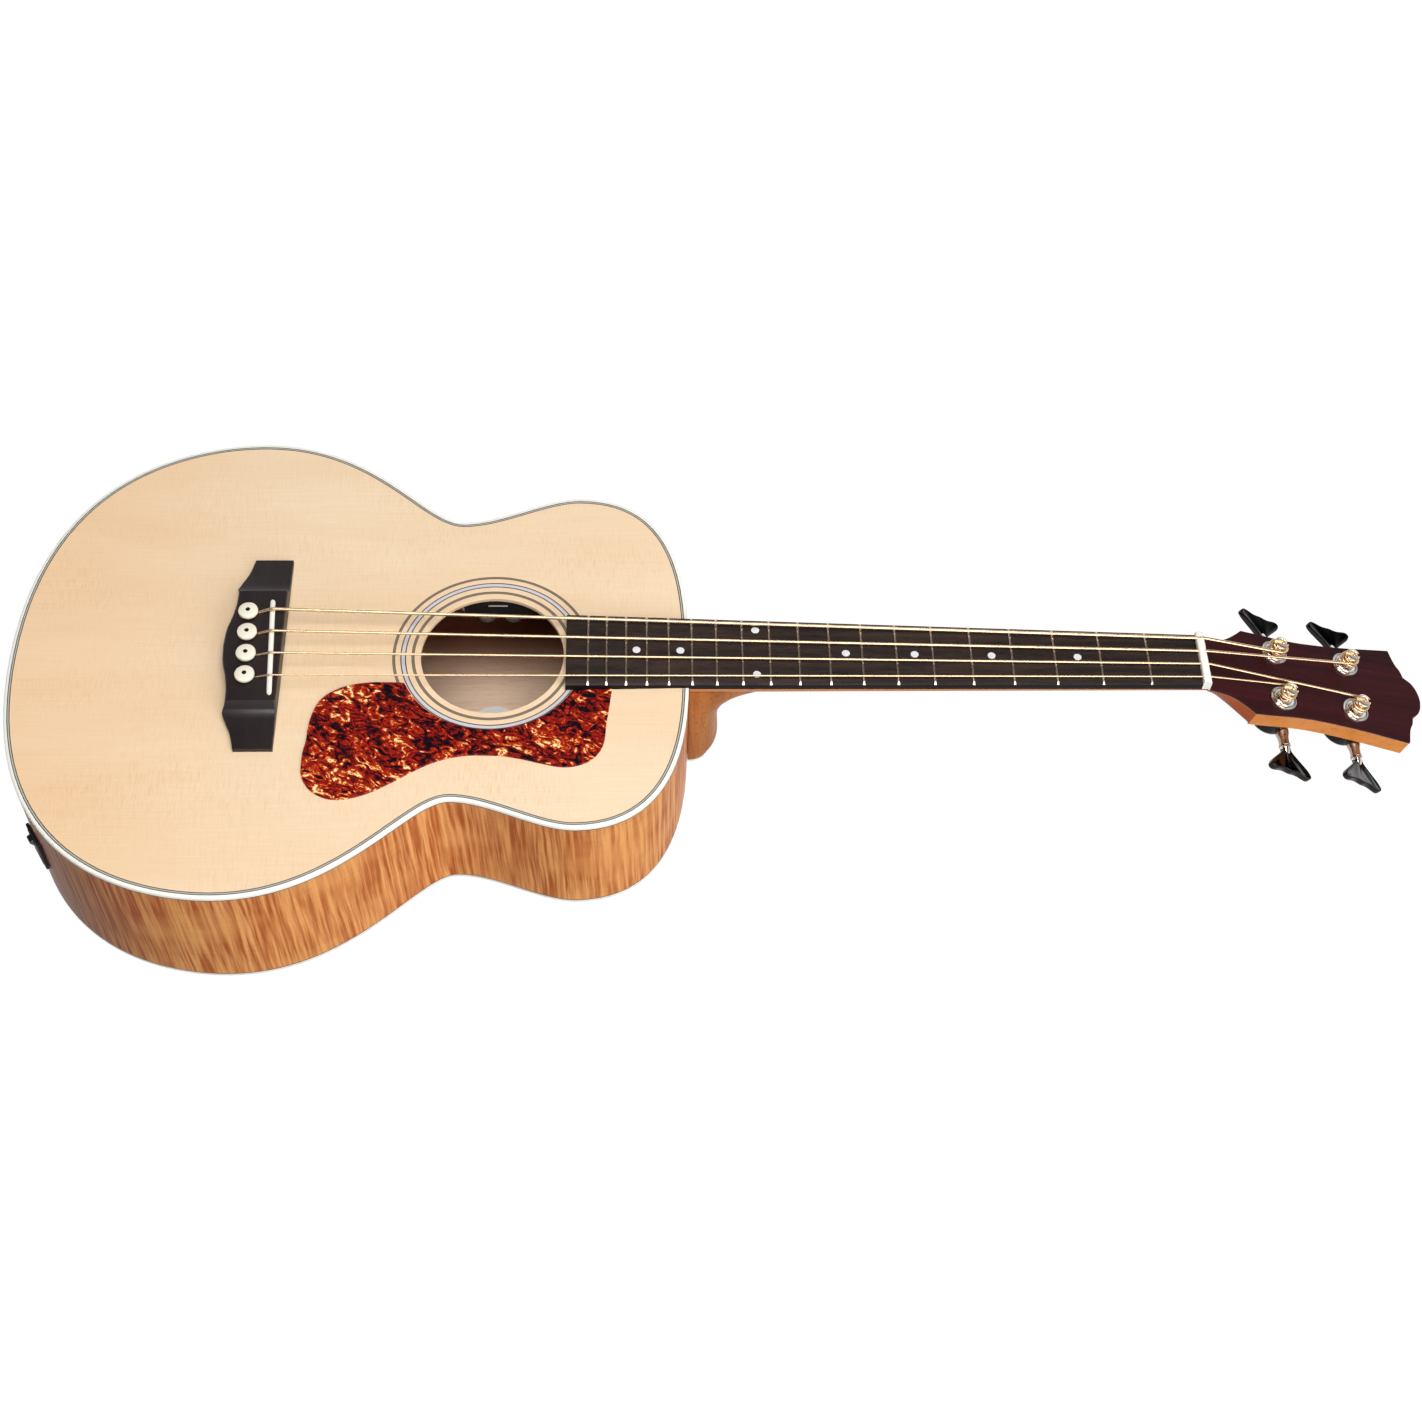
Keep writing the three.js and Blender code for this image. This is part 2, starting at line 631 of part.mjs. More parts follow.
const batteryWall = rimAt(rimCurves[0], batteryPlaceShare);
const batteryFrame = new THREE.Group();
batteryFrame.position.set(batteryWall.x, -batteryWall.y, batteryAboveBack - rimDepth(batteryWall.x));
batteryFrame.rotation.z = Math.atan2(-batteryWall.outY, batteryWall.outX);
batteryFrame.updateMatrix();
guitar.add(batteryFrame);
const tubHalfWidth = batteryDoorWidth / 2 + batteryTubWall;
const tubHalfHeight = batteryDoorHeight / 2 + batteryTubWall;
const batteryCut = box(
  -batteryTubDepth, batteryPlateThickness, -tubHalfWidth - seatGap, tubHalfWidth + seatGap,
  -tubHalfHeight - seatGap, tubHalfHeight + seatGap,
).applyMatrix4(batteryFrame.matrix);

const jackZ = -jackShareOfDepth * tailDepth;
const jackFrame = new THREE.Matrix4().makeRotationY(-Math.PI / 2).setPosition(tailX, 0, jackZ);
const jackHoleEnd = -tailBlockLength - sideInset - overrun;
const jackDrill = turned([
  [0, jackHoleEnd], [jackBarrelRadius + seatGap, jackHoleEnd],
  [jackBarrelRadius + seatGap, overrun], [0, overrun],
]).applyMatrix4(jackFrame);

const sideSection = [
  [0, () => -rimLedge], [sideThickness, () => -rimLedge],
  [sideThickness, (x) => -rimDepth(x) + backThickness + seatGap],
  [0, (x) => -rimDepth(x) + backThickness + seatGap],
];
add("side_bass", cut(halfStrip(sideSection, 1), jackDrill), maple);
add("side_treble", cut(halfStrip(sideSection, -1), jackDrill, batteryCut), maple);
add("top_binding", strip([
  [0, () => 0], [bindingWidth - inlayGap, () => 0], [bindingWidth - inlayGap, () => -bindingHeight],
  [0, () => -bindingHeight],
]), ivory);
add("top_purfling", strip([
  [purflingInset, () => 0], [topInset - 2 * inlayGap, () => 0], [topInset - 2 * inlayGap, () => -topThickness],
  [purflingInset, () => -topThickness],
]), grayLine);
add("back_binding", strip([
  [0, (x) => -rimDepth(x)], [backBindingWidth - inlayGap, (x) => -rimDepth(x)],
  [backBindingWidth - inlayGap, (x) => -rimDepth(x) + backThickness], [0, (x) => -rimDepth(x) + backThickness],
]), ivory);

// Blocks and linings
const blockTop = -topThickness - seatGap;
const neckBlock = within(
  box(neckEndX - neckBlockLength, neckEndX, -neckBlockWidth / 2, neckBlockWidth / 2, -tailDepth - archRise, 0),
  cavity,
);
const tailBlock = within(
  box(tailX, tailX + tailBlockLength, -tailBlockWidth / 2, tailBlockWidth / 2, -tailDepth - archRise, 0),
  cavity,
);
add("neck_block", neckBlock, blockWood);
add("tail_block", cut(tailBlock, jackDrill), blockWood);
const blockClearances = [
  box(neckEndX - neckBlockLength - overrun, neckEndX + overrun, -neckBlockWidth / 2 - seatGap,
    neckBlockWidth / 2 + seatGap, -tailDepth - archRise, overrun),
  box(tailX - overrun, tailX + tailBlockLength + overrun, -tailBlockWidth / 2 - seatGap,
    tailBlockWidth / 2 + seatGap, -tailDepth - archRise, overrun),
];
const liningInner = sideInset + liningWidth;
const liningFoot = sideInset + liningWidth * liningFootShare;
const liningSections = {
  top: [
    [sideInset, () => blockTop], [liningInner, () => blockTop], [liningFoot, () => blockTop - liningHeight],
    [sideInset, () => blockTop - liningHeight],
  ],
  back: [
    [sideInset, (x) => -rimDepth(x) + backThickness + seatGap],
    [liningInner, (x) => -rimDepth(x) + backThickness + seatGap],
    [liningFoot, (x) => -rimDepth(x) + backThickness + seatGap + liningHeight],
    [sideInset, (x) => -rimDepth(x) + backThickness + seatGap + liningHeight],
  ],
};
for (const [edge, section] of Object.entries(liningSections)) {
  for (const [sideName, side] of [["bass", 1], ["treble", -1]]) {
    const tools = side < 0 ? [...blockClearances, batteryCut] : blockClearances;
    add(`lining_${edge}_${sideName}`, cut(halfStrip(section, side), ...tools), paleWood);
  }
}

// Bars under the soundboard: a straight bar with thinned ends, centred on x, y and turned by an angle
function bar(length, x, y, angle, width = braceWidth, height = braceHeight) {
  const half = length / 2;
  const thin = height * braceEndShare;
  const slope = height * braceTaperShare;
  const side = [
    [-half, 0], [half, 0], [half, -thin], [half - slope, -height], [slope - half, -height], [-half, -thin],
  ];
  const ringAt = (across) => side.map(([along, z]) => point(along, across, z + blockTop));
  const geometry = loft([ringAt(-width / 2), ringAt(width / 2)]);
  return geometry.rotateZ(angle).translate(x, y, 0);
}
const xBraceAngle = Math.atan(xBraceSlopeShare);
const xBraceLength = xBraceLowerReach + xBraceUpperReach;
const xBraceShift = (xBraceUpperReach - xBraceLowerReach) / 2;
const xBars = (width, height) => [1, -1].map((side) => bar(
  xBraceLength, xBraceFromSaddle + xBraceShift * Math.cos(xBraceAngle),
  side * xBraceShift * Math.sin(xBraceAngle), side * xBraceAngle, width, height,
));
add("x_brace", within(join(...xBars(braceWidth, braceHeight)), insideLinings), paleWood);
const upperBraceX = neckEndX - neckBlockLength - upperBraceFromBlock;
add("upper_brace", within(
  bar(upperBraceLength, upperBraceX, 0, Math.PI / 2), insideLinings,
), paleWood);
toneBarPlaces.forEach(([x, y], i) => {
  const barPiece = bar(toneBarLengths[i], x, y, Math.PI / 2 + toneBarAngle, braceWidth, braceHeight / 2);
  add(`tone_bar_${i + 1}`, within(barPiece, insideLinings), paleWood);
});
const bridgeMiddleX = bridgeFrontFromSaddle - bridgeDepth / 2;
add("bridge_plate", cut(
  box(bridgeMiddleX - bridgePlateLength / 2, bridgeMiddleX + bridgePlateLength / 2, -bridgePlateWidth / 2,
    bridgePlateWidth / 2, blockTop - bridgePlateThickness, blockTop),
  ...pinHoles, ...stringWays, ...xBars(braceWidth + 2 * seatGap, braceHeight + seatGap),
), maple);

// Pickguard
const guardLength = holeX + guardPastHole - guardFromSaddle;
const guardPoints = guardShares.map(([x, y]) => new THREE.Vector2(
  guardFromSaddle + x * guardLength, -guardFromCentreLine - y * guardWidth,
));
const boardFlare = (widthAtTwelfthFret - nutWidth) / scaleLength; // of each edge, away from the nut
const halfWidthAt = (x) => nutWidth / 2 + boardFlare * (scaleLength - x);
const fretboardEdge = [
  [fretboardStart - seatGap, -halfWidthAt(fretboardStart) - seatGap],
  [neckEndX, -halfWidthAt(neckEndX) - seatGap], [neckEndX, overrun],
  [fretboardStart - seatGap, overrun],
];
add("pickguard", cut(
  plate(guardPoints.map(({ x, y }) => [x, y]), seatGap, seatGap + guardThickness),
  drill(
    holeX, 0, rosetteMiddleRadii[1] + guardToRosetteGap, 0, guardThickness + overrun, 2 * roundSteps,
  ),
  plate(fretboardEdge, 0, guardThickness + overrun),
), tortoise);

// Bridge and saddle
const bridgeHalf = [...bridgeShares].reverse().map((shares) => [-1, ...shares]);
const bridgeStations = [...bridgeHalf, ...bridgeShares.slice(1).map((shares) => [1, ...shares])];
const bridgeRings = bridgeStations.map(([side, along, depth, height]) => {
  const y = (side * along * bridgeLength) / 2;
  const front = bridgeFrontFromSaddle;
  const rear = front - depth * bridgeDepth;
  const top = bridgeTipHeight + height * (bridgeHeight - bridgeTipHeight);
  const bevel = bridgeBevel * Math.max(height, bridgeBevelLeastShare);
  return [
    point(front, y, seatGap), point(front, y, top - bevel), point(front - bevel, y, top),
    point(rear + bevel, y, top), point(rear, y, top - bevel), point(rear, y, seatGap),
  ];
});
const saddleLength = saddleBassReach + saddleTrebleReach;
const saddleTurn = Math.atan(saddleSetbackAtBass / saddleLength);
function saddleBlock(grow, low, high) {
  const half = saddleThickness / 2 + grow;
  const reach = saddleLength / 2 + grow;
  const corner = saddleThickness / 2;
  const outline = [
    [-half, -reach + corner], [-half + corner, -reach], [half - corner, -reach], [half, -reach + corner],
    [half, reach - corner], [half - corner, reach], [-half + corner, reach], [-half, reach - corner],
  ];
  const middleY = (saddleBassReach - saddleTrebleReach) / 2;
  return plate(outline, low, high).rotateZ(saddleTurn).translate(saddleLine(middleY), middleY, 0);
}
const slotFloor = bridgeHeight - saddleSlotDepth;
add("bridge", cut(
  loft(bridgeRings), saddleBlock(seatGap, slotFloor, bridgeHeight + overrun), ...pinHoles, ...stringWays,
), darkWood);
add("saddle", cut(saddleBlock(0, slotFloor + seatGap, saddleCrest), ...stringWays), ivory);

// Bridge pins
strings.forEach(({ pinX, pinY }, i) => {
  const pin = turned([
    [0, -pinBelowTop], [pinTipRadius, -pinBelowTop], [pinRadius, bridgeHeight], [pinRadius, pinHeadUnderside],
    [pinHeadRadius, pinHeadUnderside + pinDomeHeight], [pinHeadRadius, pinHeadUnderside + pinHeadHeight],
    [pinHeadRadius / 2, pinHeadUnderside + pinHeadHeight + pinDomeHeight],
    [0, pinHeadUnderside + pinHeadHeight + pinDomeHeight],
  ], pinSteps).translate(pinX, pinY, 0);
  const flute = sweep(
    strings[i].route.slice(...fluteStations),
    strings[i].radii.slice(...fluteStations).map((radius) => radius + seatGap),
  );
  add(`bridge_pin_${posts[i].name}`, cut(pin, flute), ivory);
});

// Strings
strings.forEach(({ route, radii }, i) => add(`string_${posts[i].name}`, sweep(route, radii), bronze));
strings.forEach(({ winding, diameter }, i) => {
  let least = Infinity;
  for (let a = 0; a < winding.length; a++) {
    for (let b = a + windingStepsEachTurn / 2; b < winding.length; b++) {
      least = Math.min(least, winding[a].distanceTo(winding[b]) - diameter);
    }
  }
  console.log(`string_${posts[i].name}: least gap of its winding to itself ${least.toFixed(2)} mm`);
});

// Fretboard with its frets, in the neck's frame
const crownAt = (x, y) => -fretboardArcRise * (y / (widthAtTwelfthFret / 2)) ** 2;
const fretboardStop = scaleLength - seatGap;
const boardUnderside = -fretboardThickness;
function boardRing(x, halfWidth, undersideAt) {
  const across = [-1, 0, 1].map((share) => share * halfWidth);
  return [
    ...across.map((y) => point(x, y, crownAt(x, y))),
    point(x, halfWidth, undersideAt), point(x, -halfWidth, undersideAt),
  ];
}
const neckLineHeight = fretboardRise + neckEndX * Math.tan(neckPitch);
const topPlaneAt = (x) => (seatGap - neckLineHeight) / Math.cos(neckPitch) + x * Math.tan(neckPitch);
const fretboardBlank = loft([
  boardRing(fretboardStart, halfWidthAt(fretboardStart), topPlaneAt(fretboardStart)),
  boardRing(neckEndX + seatGap, halfWidthAt(neckEndX), topPlaneAt(neckEndX + seatGap)),
  boardRing(neckEndX + 2 * seatGap, halfWidthAt(neckEndX), boardUnderside),
  boardRing(fretboardStop, halfWidthAt(fretboardStop), boardUnderside),
]);
const frets = Array.from({ length: fretCount }, (_, i) => {
  const x = fretAt(i + 1);
  const halfWidth = halfWidthAt(x) - seatGap;
  const foot = fretWidth / 2;
  const crown = foot * fretCrownShare;
  return loft([-1, 0, 1].map((share) => {
    const y = share * halfWidth;
    const base = crownAt(x, y);
    const topY = y - share * fretHeight;
    return [
      point(x - foot, y, base - fretSetIn), point(x + foot, y, base - fretSetIn), point(x + foot, y, base),
      point(x + crown, topY, base + fretHeight), point(x - crown, topY, base + fretHeight),
      point(x - foot, y, base),
    ];
  }));
});
add("fretboard", join(fretboardBlank, ...frets).applyMatrix4(neckFrame), darkWood);

// Nut, slotted for the strings
const nutTop = fretHeight + stringOverFirstFret + stringDiameters[0] + nutOverStrings;
const nutBlank = box(
  scaleLength, scaleLength + nutThickness, -nutWidth / 2, nutWidth / 2, boardUnderside, nutTop,
).applyMatrix4(neckFrame);
const nutSlots = strings.map(({ nutY, nutHeight, radius }) => box(
  scaleLength - overrun, scaleLength + nutThickness + overrun,
  nutY - radius - seatGap, nutY + radius + seatGap, nutHeight - radius - seatGap, nutTop + overrun,
).applyMatrix4(neckFrame));
add("nut", cut(nutBlank, ...nutSlots, ...stringWays), ivory);

// Neck: a round shaft, a heel down the body's end and the headstock, in one piece
const neckTop = boardUnderside - seatGap;
function roundBelow(width, depth, squareness) {
  const section = Array.from({ length: neckRoundSteps + 1 }, (_, i) => {
    const angle = (Math.PI * i) / neckRoundSteps;
    const power = 2 / squareness;
    const across = Math.sign(Math.cos(angle)) * Math.abs(Math.cos(angle)) ** power;
    return [(across * width) / 2, -depth * Math.sin(angle) ** power];
  });
  return section;
}
const shaftRings = neckStations.map((share, i) => {
  const x = neckEndX + share * (scaleLength - neckEndX);
  const depth = neckDepthAtHeel + share * (neckDepthAtNut - neckDepthAtHeel);
  const squareness = neckSquareness + share * (nutSquareness - neckSquareness);
  return roundBelow(2 * halfWidthAt(x), depth, squareness).map(([y, z]) => {
    const below = neckTop + z;
    const squareStart = (bodyFaceX - below * Math.sin(neckPitch)) / Math.cos(neckPitch);
    return onNeck(i === 0 ? squareStart : x, y, below);
  });
});
const headHalf = headWidth / 2;
const headOutline = [
  ...headShares.map(([s, t]) => [s * headLength, t * headHalf]),
  ...[...headShares].reverse().map(([s, t]) => [s * headLength, -t * headHalf]),
];
const blendRings = [
  roundBelow(nutWidth, neckDepthAtNut, nutSquareness).map(([y, z]) =>
    onNeck(scaleLength + nutThickness + seatGap, y, neckTop + z)),
  roundBelow(nutWidth, headThickness + faceUnderOverlay, headRootSquareness).map(([y, z]) =>
    onHead(headBlendLength, y, faceUnderOverlay + z)),
];
const neckShaft = loft([...shaftRings, ...blendRings]);
const headCore = plate(headOutline, -headThickness, faceUnderOverlay).applyMatrix4(headFrame);
const heelBottom = -neckEndDepth + heelCapThickness + seatGap;
const heelHalfWidth = halfWidthAt(neckEndX);
function heelRing(z, lengthShare, widthShare) {
  const half = widthShare * heelHalfWidth;
  return Array.from({ length: heelRoundSteps + 1 }, (_, i) => {
    const angle = (Math.PI * i) / heelRoundSteps;
    const off = Math.sin(angle) ** heelRoundness;
    const across = Math.sign(Math.cos(angle)) * Math.abs(Math.cos(angle)) ** heelRoundness;
    return point(bodyFaceX + lengthShare * heelLength * off, half * across, z);
  });
}
const heel = loft(heelLevelShares.map(([depth, length, width]) =>
  heelRing(depth * heelBottom, length, width)));
const rodChannel = box(
  neckEndX + trussRodFromBody - seatGap, scaleLength - trussRodFromNut + seatGap, -trussRodWidth / 2 - seatGap,
  trussRodWidth / 2 + seatGap, neckTop - trussRodHeight - seatGap, neckTop + overrun,
).applyMatrix4(neckFrame);
const bushOuter = postShankRadius + turnGap + bushWall;
const bushDrills = posts.map(({ s, t }) => drill(
  s, t, bushOuter + seatGap, -headThickness - overrun, overrun, latheSteps,
).applyMatrix4(headFrame));
const overlaySeat = box(
  -seatGap, headLength, -headHalf - overrun, headHalf + overrun, faceUnderOverlay, headFaceDrop,
).applyMatrix4(headFrame);
add("neck", cut(join(neckShaft, headCore, heel), rodChannel, overlaySeat, ...bushDrills), neckWood);
add("truss_rod", box(
  neckEndX + trussRodFromBody, scaleLength - trussRodFromNut, -trussRodWidth / 2, trussRodWidth / 2,
  neckTop - trussRodHeight, neckTop,
).applyMatrix4(neckFrame), steel);
const [, capLengthShare, capWidthShare] = heelLevelShares.at(-1);
add("heel_cap", loft([
  heelRing(-neckEndDepth, capLengthShare, capWidthShare),
  heelRing(-neckEndDepth + heelCapThickness, capLengthShare, capWidthShare),
]), ivory);
add("headstock_overlay", cut(
  plate(headOutline, -overlayThickness, 0).applyMatrix4(headFrame), ...bushDrills, ...stringWays,
), overlayWood);

// Tuning machines, each in a frame of its own on the headstock
const gearMiddle = -headThickness - seatGap - housingDepth / 2;
const housingFloor = -headThickness - seatGap - housingDepth;
function postGeometry() {
  const shaft = turned([
    [0, gearMiddle - gearThickness], [postShankRadius / 2, gearMiddle - gearThickness],
    [postShankRadius / 2, gearMiddle + gearThickness / 2], [postShankRadius, gearMiddle + gearThickness / 2],
    [postShankRadius, washerNutHeight + turnGap], [postRadius, washerNutHeight + turnGap],
    [postWaistRadius, washerNutHeight + 2 * turnGap], [postWaistRadius, postTop - postCapHeight],
    [postRadius, postTop - postCapHeight], [postRadius, postTop - seatGap],
    [postRadius - seatGap, postTop], [0, postTop],
  ]);
  const tooth = Math.PI / gearTeeth;
  const gearOutline = Array.from({ length: 2 * gearTeeth }, (_, i) => {
    const radius = i % 2 ? gearRadius - gearToothHeight : gearRadius;
    return [radius * Math.cos(i * tooth), radius * Math.sin(i * tooth)];
  });
  const gear = plate(gearOutline, gearMiddle - gearThickness / 2, gearMiddle + gearThickness / 2);
  const slot = box(
    -postRadius - overrun, postRadius + overrun, -postSlotWidth / 2, postSlotWidth / 2,
    postTop - postSlotDepth, postTop + overrun,
  );
  return cut(join(shaft, gear), slot);
}

// The worm's thread is one lobe that turns as it goes along the shaft
function wormGeometry() {
  const steps = wormTurns * wormStepsEachTurn;
  return loft(Array.from({ length: steps + 1 }, (_, i) => {
    const turn = (2 * Math.PI * i) / wormStepsEachTurn;
    return Array.from({ length: wormSides }, (_, j) => {
      const angle = (2 * Math.PI * j) / wormSides;
      const crest = Math.max(0, Math.cos(angle - turn));
      const radius = shaftRadius + (wormRadius - shaftRadius) * crest;
      const along = wormLength * (i / steps - 1 / 2);
      return point(radius * Math.sin(angle), along, radius * Math.cos(angle));
    });
  }));
}

// A key with its shaft, made along +Y from the post's line, with its wings in the XY plane
function keyGeometry() {
  const wormEnd = wormLength / 2 - seatGap;
  const stub = turned([
    [0, -shaftInnerEnd], [shaftRadius, -shaftInnerEnd], [shaftRadius, -wormEnd], [0, -wormEnd],
  ]);
  const shaft = turned([
    [0, wormEnd], [shaftRadius, wormEnd], [shaftRadius, armEnd + turnGap],
    [keyCollarRadius, armEnd + turnGap], [keyCollarRadius, armEnd + turnGap + keyCollarRadius],
    [0, armEnd + 2 * keyCollarRadius],
  ]);
  const keyStart = armEnd + turnGap + keyEdgeBevel;
  const keyLength = keyReach - keyStart - keyEdgeBevel;
  const halfSpan = keySpan / 2 - keyEdgeBevel;
  const right = keyShares.map(([along, across]) =>
    new THREE.Vector2(across * halfSpan, keyStart + along * keyLength));
  const left = [...right].reverse().map(({ x, y }) => new THREE.Vector2(-x, y));
  const wings = new THREE.ExtrudeGeometry(new THREE.Shape([...right, ...left]), {
    depth: keyThickness - 2 * keyEdgeBevel,
    bevelSize: keyEdgeBevel,
    bevelThickness: keyEdgeBevel,
    bevelSegments: 1,
  }).translate(0, 0, keyEdgeBevel - keyThickness / 2);
  return join(wings, shaft.rotateX(-Math.PI / 2), wormGeometry(), stub.rotateX(-Math.PI / 2));
}

function housingGeometry() {
  const low = housingFloor;
  const high = -headThickness - seatGap;
  const cup = turned([
    [0, low], [housingRadius - housingWall, low], [housingRadius, low + housingWall], [housingRadius, high],
    [housingRadius - housingWall, high], [housingRadius - housingWall, low + housingWall],
    [0, low + housingWall],
  ]);
  const arm = turned([
    [0, 0], [armRadii[0], 0], [armRadii[0], housingRadius], [armRadii[1], armEnd], [0, armEnd],
  ]).rotateX(-Math.PI / 2).translate(shaftFromPost, 0, gearMiddle);
  const room = turned([
    [0, low + housingWall], [housingRadius - housingWall, low + housingWall],
    [housingRadius - housingWall, high + overrun], [0, high + overrun],
  ]);
  const bore = turned([
    [0, -overrun], [shaftRadius + turnGap, -overrun], [shaftRadius + turnGap, armEnd + overrun],
    [0, armEnd + overrun],
  ]).rotateX(-Math.PI / 2).translate(shaftFromPost, 0, gearMiddle);
  const headBack = box(
    -2 * housingRadius, 2 * housingRadius, -overrun, 2 * armEnd, high, high + headThickness,
  );
  return cut(join(cup, arm), room, bore, headBack);
}

function bushGeometry() {
  const inner = postShankRadius + turnGap;
  return turned([
    [inner, -bushLength], [bushOuter, -bushLength], [bushOuter, seatGap], [washerRadius, seatGap],
    [washerRadius, washerThickness], [washerNutRadius, washerThickness + seatGap],
    [washerNutRadius, washerNutHeight], [inner, washerNutHeight], [inner, -bushLength],
  ], washerSteps);
}

const headGroup = new THREE.Group();
headGroup.applyMatrix4(headFrame);
guitar.add(headGroup);
posts.forEach(({ name, side, s, t }, i) => {
  const machine = new THREE.Group();
  machine.position.set(s, t, 0);
  headGroup.add(machine);
  add(`tuner_post_${name}`, postGeometry(), chrome, machine);
  add(`tuner_bushing_${name}`, bushGeometry(), chrome, machine);
  const housing = housingGeometry();
  add(`tuner_housing_${name}`, side > 0 ? housing : inwardOut(housing.scale(1, -1, 1)), darkChrome, machine);
  const key = keyGeometry();
  const tipUp = keyRestAngles[i];
  const placed = (side > 0 ? key : inwardOut(key.scale(1, -1, 1))).rotateY(tipUp);
  add(`tuner_key_${name}`, placed.translate(shaftFromPost, 0, gearMiddle), darkChrome, machine);
});

// Preamplifier and its two thumb wheels
const preampTop = blockTop;
const preampNear = preampFromHoleCentre;
const preampMiddleX = holeX + preampTowardsNeck;
const preampFoot = preampTop - preampDepth;
const wheelTop = preampFoot - turnGap;
const wheelPlaces = [-1, 1].map((side) => [
  preampMiddleX + (side * wheelSpacing) / 2, preampNear + wheelRadius - wheelProud,
]);
const preampBlank = box(
  preampMiddleX - preampLength / 2, preampMiddleX + preampLength / 2, preampNear, preampNear + preampWidth,
  preampFoot, preampTop,
);
const hubTop = wheelTop + wheelHubReach;
const hubHoles = wheelPlaces.map(([x, y]) =>
  drill(x, y, wheelHubRadius + turnGap, preampFoot - overrun, hubTop + turnGap, latheSteps));
add("preamp_body", cut(preampBlank, ...hubHoles), blackPlastic);
["volume_wheel", "tone_wheel"].forEach((name, i) => {
  const [x, y] = wheelPlaces[i];
  const step = Math.PI / wheelRibs;
  const outline = Array.from({ length: 2 * wheelRibs }, (_, k) => {
    const radius = k % 2 ? wheelRadius - wheelRibDepth : wheelRadius;
    return [x + radius * Math.cos(k * step), y + radius * Math.sin(k * step)];
  });
  add(name, join(
    plate(outline, wheelTop - wheelThickness, wheelTop),
    drill(x, y, wheelHubRadius, wheelTop - wheelThickness / 2, hubTop, latheSteps),
  ), blackPlastic);
});

// Battery box: a flanged tub with a hinged door, X out of the side
const plateBack = seatGap;
const plateFront = plateBack + batteryPlateThickness;
const doorHalfHeight = batteryDoorHeight / 2;
const doorHalfWidth = batteryDoorWidth / 2;
const flange = box(
  plateBack, plateFront, -batteryPlateWidth / 2, batteryPlateWidth / 2,
  -batteryPlateHeight / 2, batteryPlateHeight / 2,
);
const tub = box(
  -batteryTubDepth + seatGap, plateFront, -tubHalfWidth, tubHalfWidth, -tubHalfHeight, tubHalfHeight,
);
const tubRoom = box(
  -batteryTubDepth + seatGap + batteryTubWall, plateFront + overrun, -doorHalfWidth, doorHalfWidth,
  -doorHalfHeight, doorHalfHeight,
);
add("battery_box", cut(join(flange, tub), tubRoom), blackPlastic, batteryFrame);
const doorOuter = plateFront + turnGap;
add("battery_door", join(
  box(doorOuter - batteryDoorThickness, doorOuter, -doorHalfWidth + turnGap, doorHalfWidth - turnGap,
    -doorHalfHeight + turnGap, doorHalfHeight - turnGap),
  box(doorOuter - seatGap, doorOuter + batteryLatchHeight, -batteryLatchSize / 2, batteryLatchSize / 2,
    doorHalfHeight - turnGap - batteryLatchSize, doorHalfHeight - turnGap),
), blackPlastic, batteryFrame);

// Output jack and strap button, turned round the line out of the tail
const jackInner = -tailBlockLength - seatGap;
const jackNutInner = jackInner - jackNutThickness;
const jackOut = seatGap + jackFlangeThickness;
const jackNeckOut = jackOut + jackNeckLength;
const jackEnd = jackNeckOut + jackEndThickness;
add("endpin_jack", turned([
  [0, jackNutInner - jackInsideLength], [jackBarrelRadius, jackNutInner - jackInsideLength],
  [jackBarrelRadius, jackNutInner], [jackNutRadius, jackNutInner], [jackNutRadius, jackInner],
  [jackBarrelRadius, jackInner], [jackBarrelRadius, seatGap], [jackFlangeRadius, seatGap],
  [jackFlangeRadius, jackOut], [jackNeckRadius, jackOut + jackFlangeThickness], [jackNeckRadius, jackNeckOut],
  [jackEndRadius, jackNeckOut], [jackEndRadius, jackEnd], [jackBore, jackEnd],
  [jackBore, jackNutInner - jackInsideLength + jackFlangeThickness],
  [0, jackNutInner - jackInsideLength + jackFlangeThickness],
]).applyMatrix4(jackFrame), chrome);

// Set the guitar level on the flat middle of its back
const restTilt = Math.atan(rimTaper);
const restPoint = point(archCentreX, 0, -rimDepth(archCentreX) - archRise);
guitar.rotation.y = restTilt;
guitar.position.copy(restPoint.applyAxisAngle(point(0, 1, 0), restTilt).negate());

const part = new THREE.Group();
part.add(guitar);
export default part;
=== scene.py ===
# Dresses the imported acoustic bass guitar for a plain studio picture.
# Sizes in the dictionaries are millimetres; the frames below turn them into the scene's metres.
import math
import bmesh
import bpy
from mathutils import Matrix, Vector


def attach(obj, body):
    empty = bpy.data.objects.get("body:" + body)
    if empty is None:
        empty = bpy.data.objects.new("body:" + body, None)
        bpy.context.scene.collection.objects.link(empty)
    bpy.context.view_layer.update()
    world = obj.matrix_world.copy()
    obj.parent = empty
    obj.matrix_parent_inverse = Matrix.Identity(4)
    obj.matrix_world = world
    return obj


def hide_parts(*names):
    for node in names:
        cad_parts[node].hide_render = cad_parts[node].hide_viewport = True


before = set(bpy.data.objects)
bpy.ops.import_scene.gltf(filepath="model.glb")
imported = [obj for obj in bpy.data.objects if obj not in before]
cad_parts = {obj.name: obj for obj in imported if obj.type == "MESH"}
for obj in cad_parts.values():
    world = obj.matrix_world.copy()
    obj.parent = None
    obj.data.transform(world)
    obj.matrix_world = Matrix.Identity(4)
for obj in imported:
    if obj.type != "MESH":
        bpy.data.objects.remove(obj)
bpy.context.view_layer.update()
print("stage: frame loaded")


def turnOf(degrees, axis):
    return Matrix.Rotation(math.radians(degrees), 4, axis)


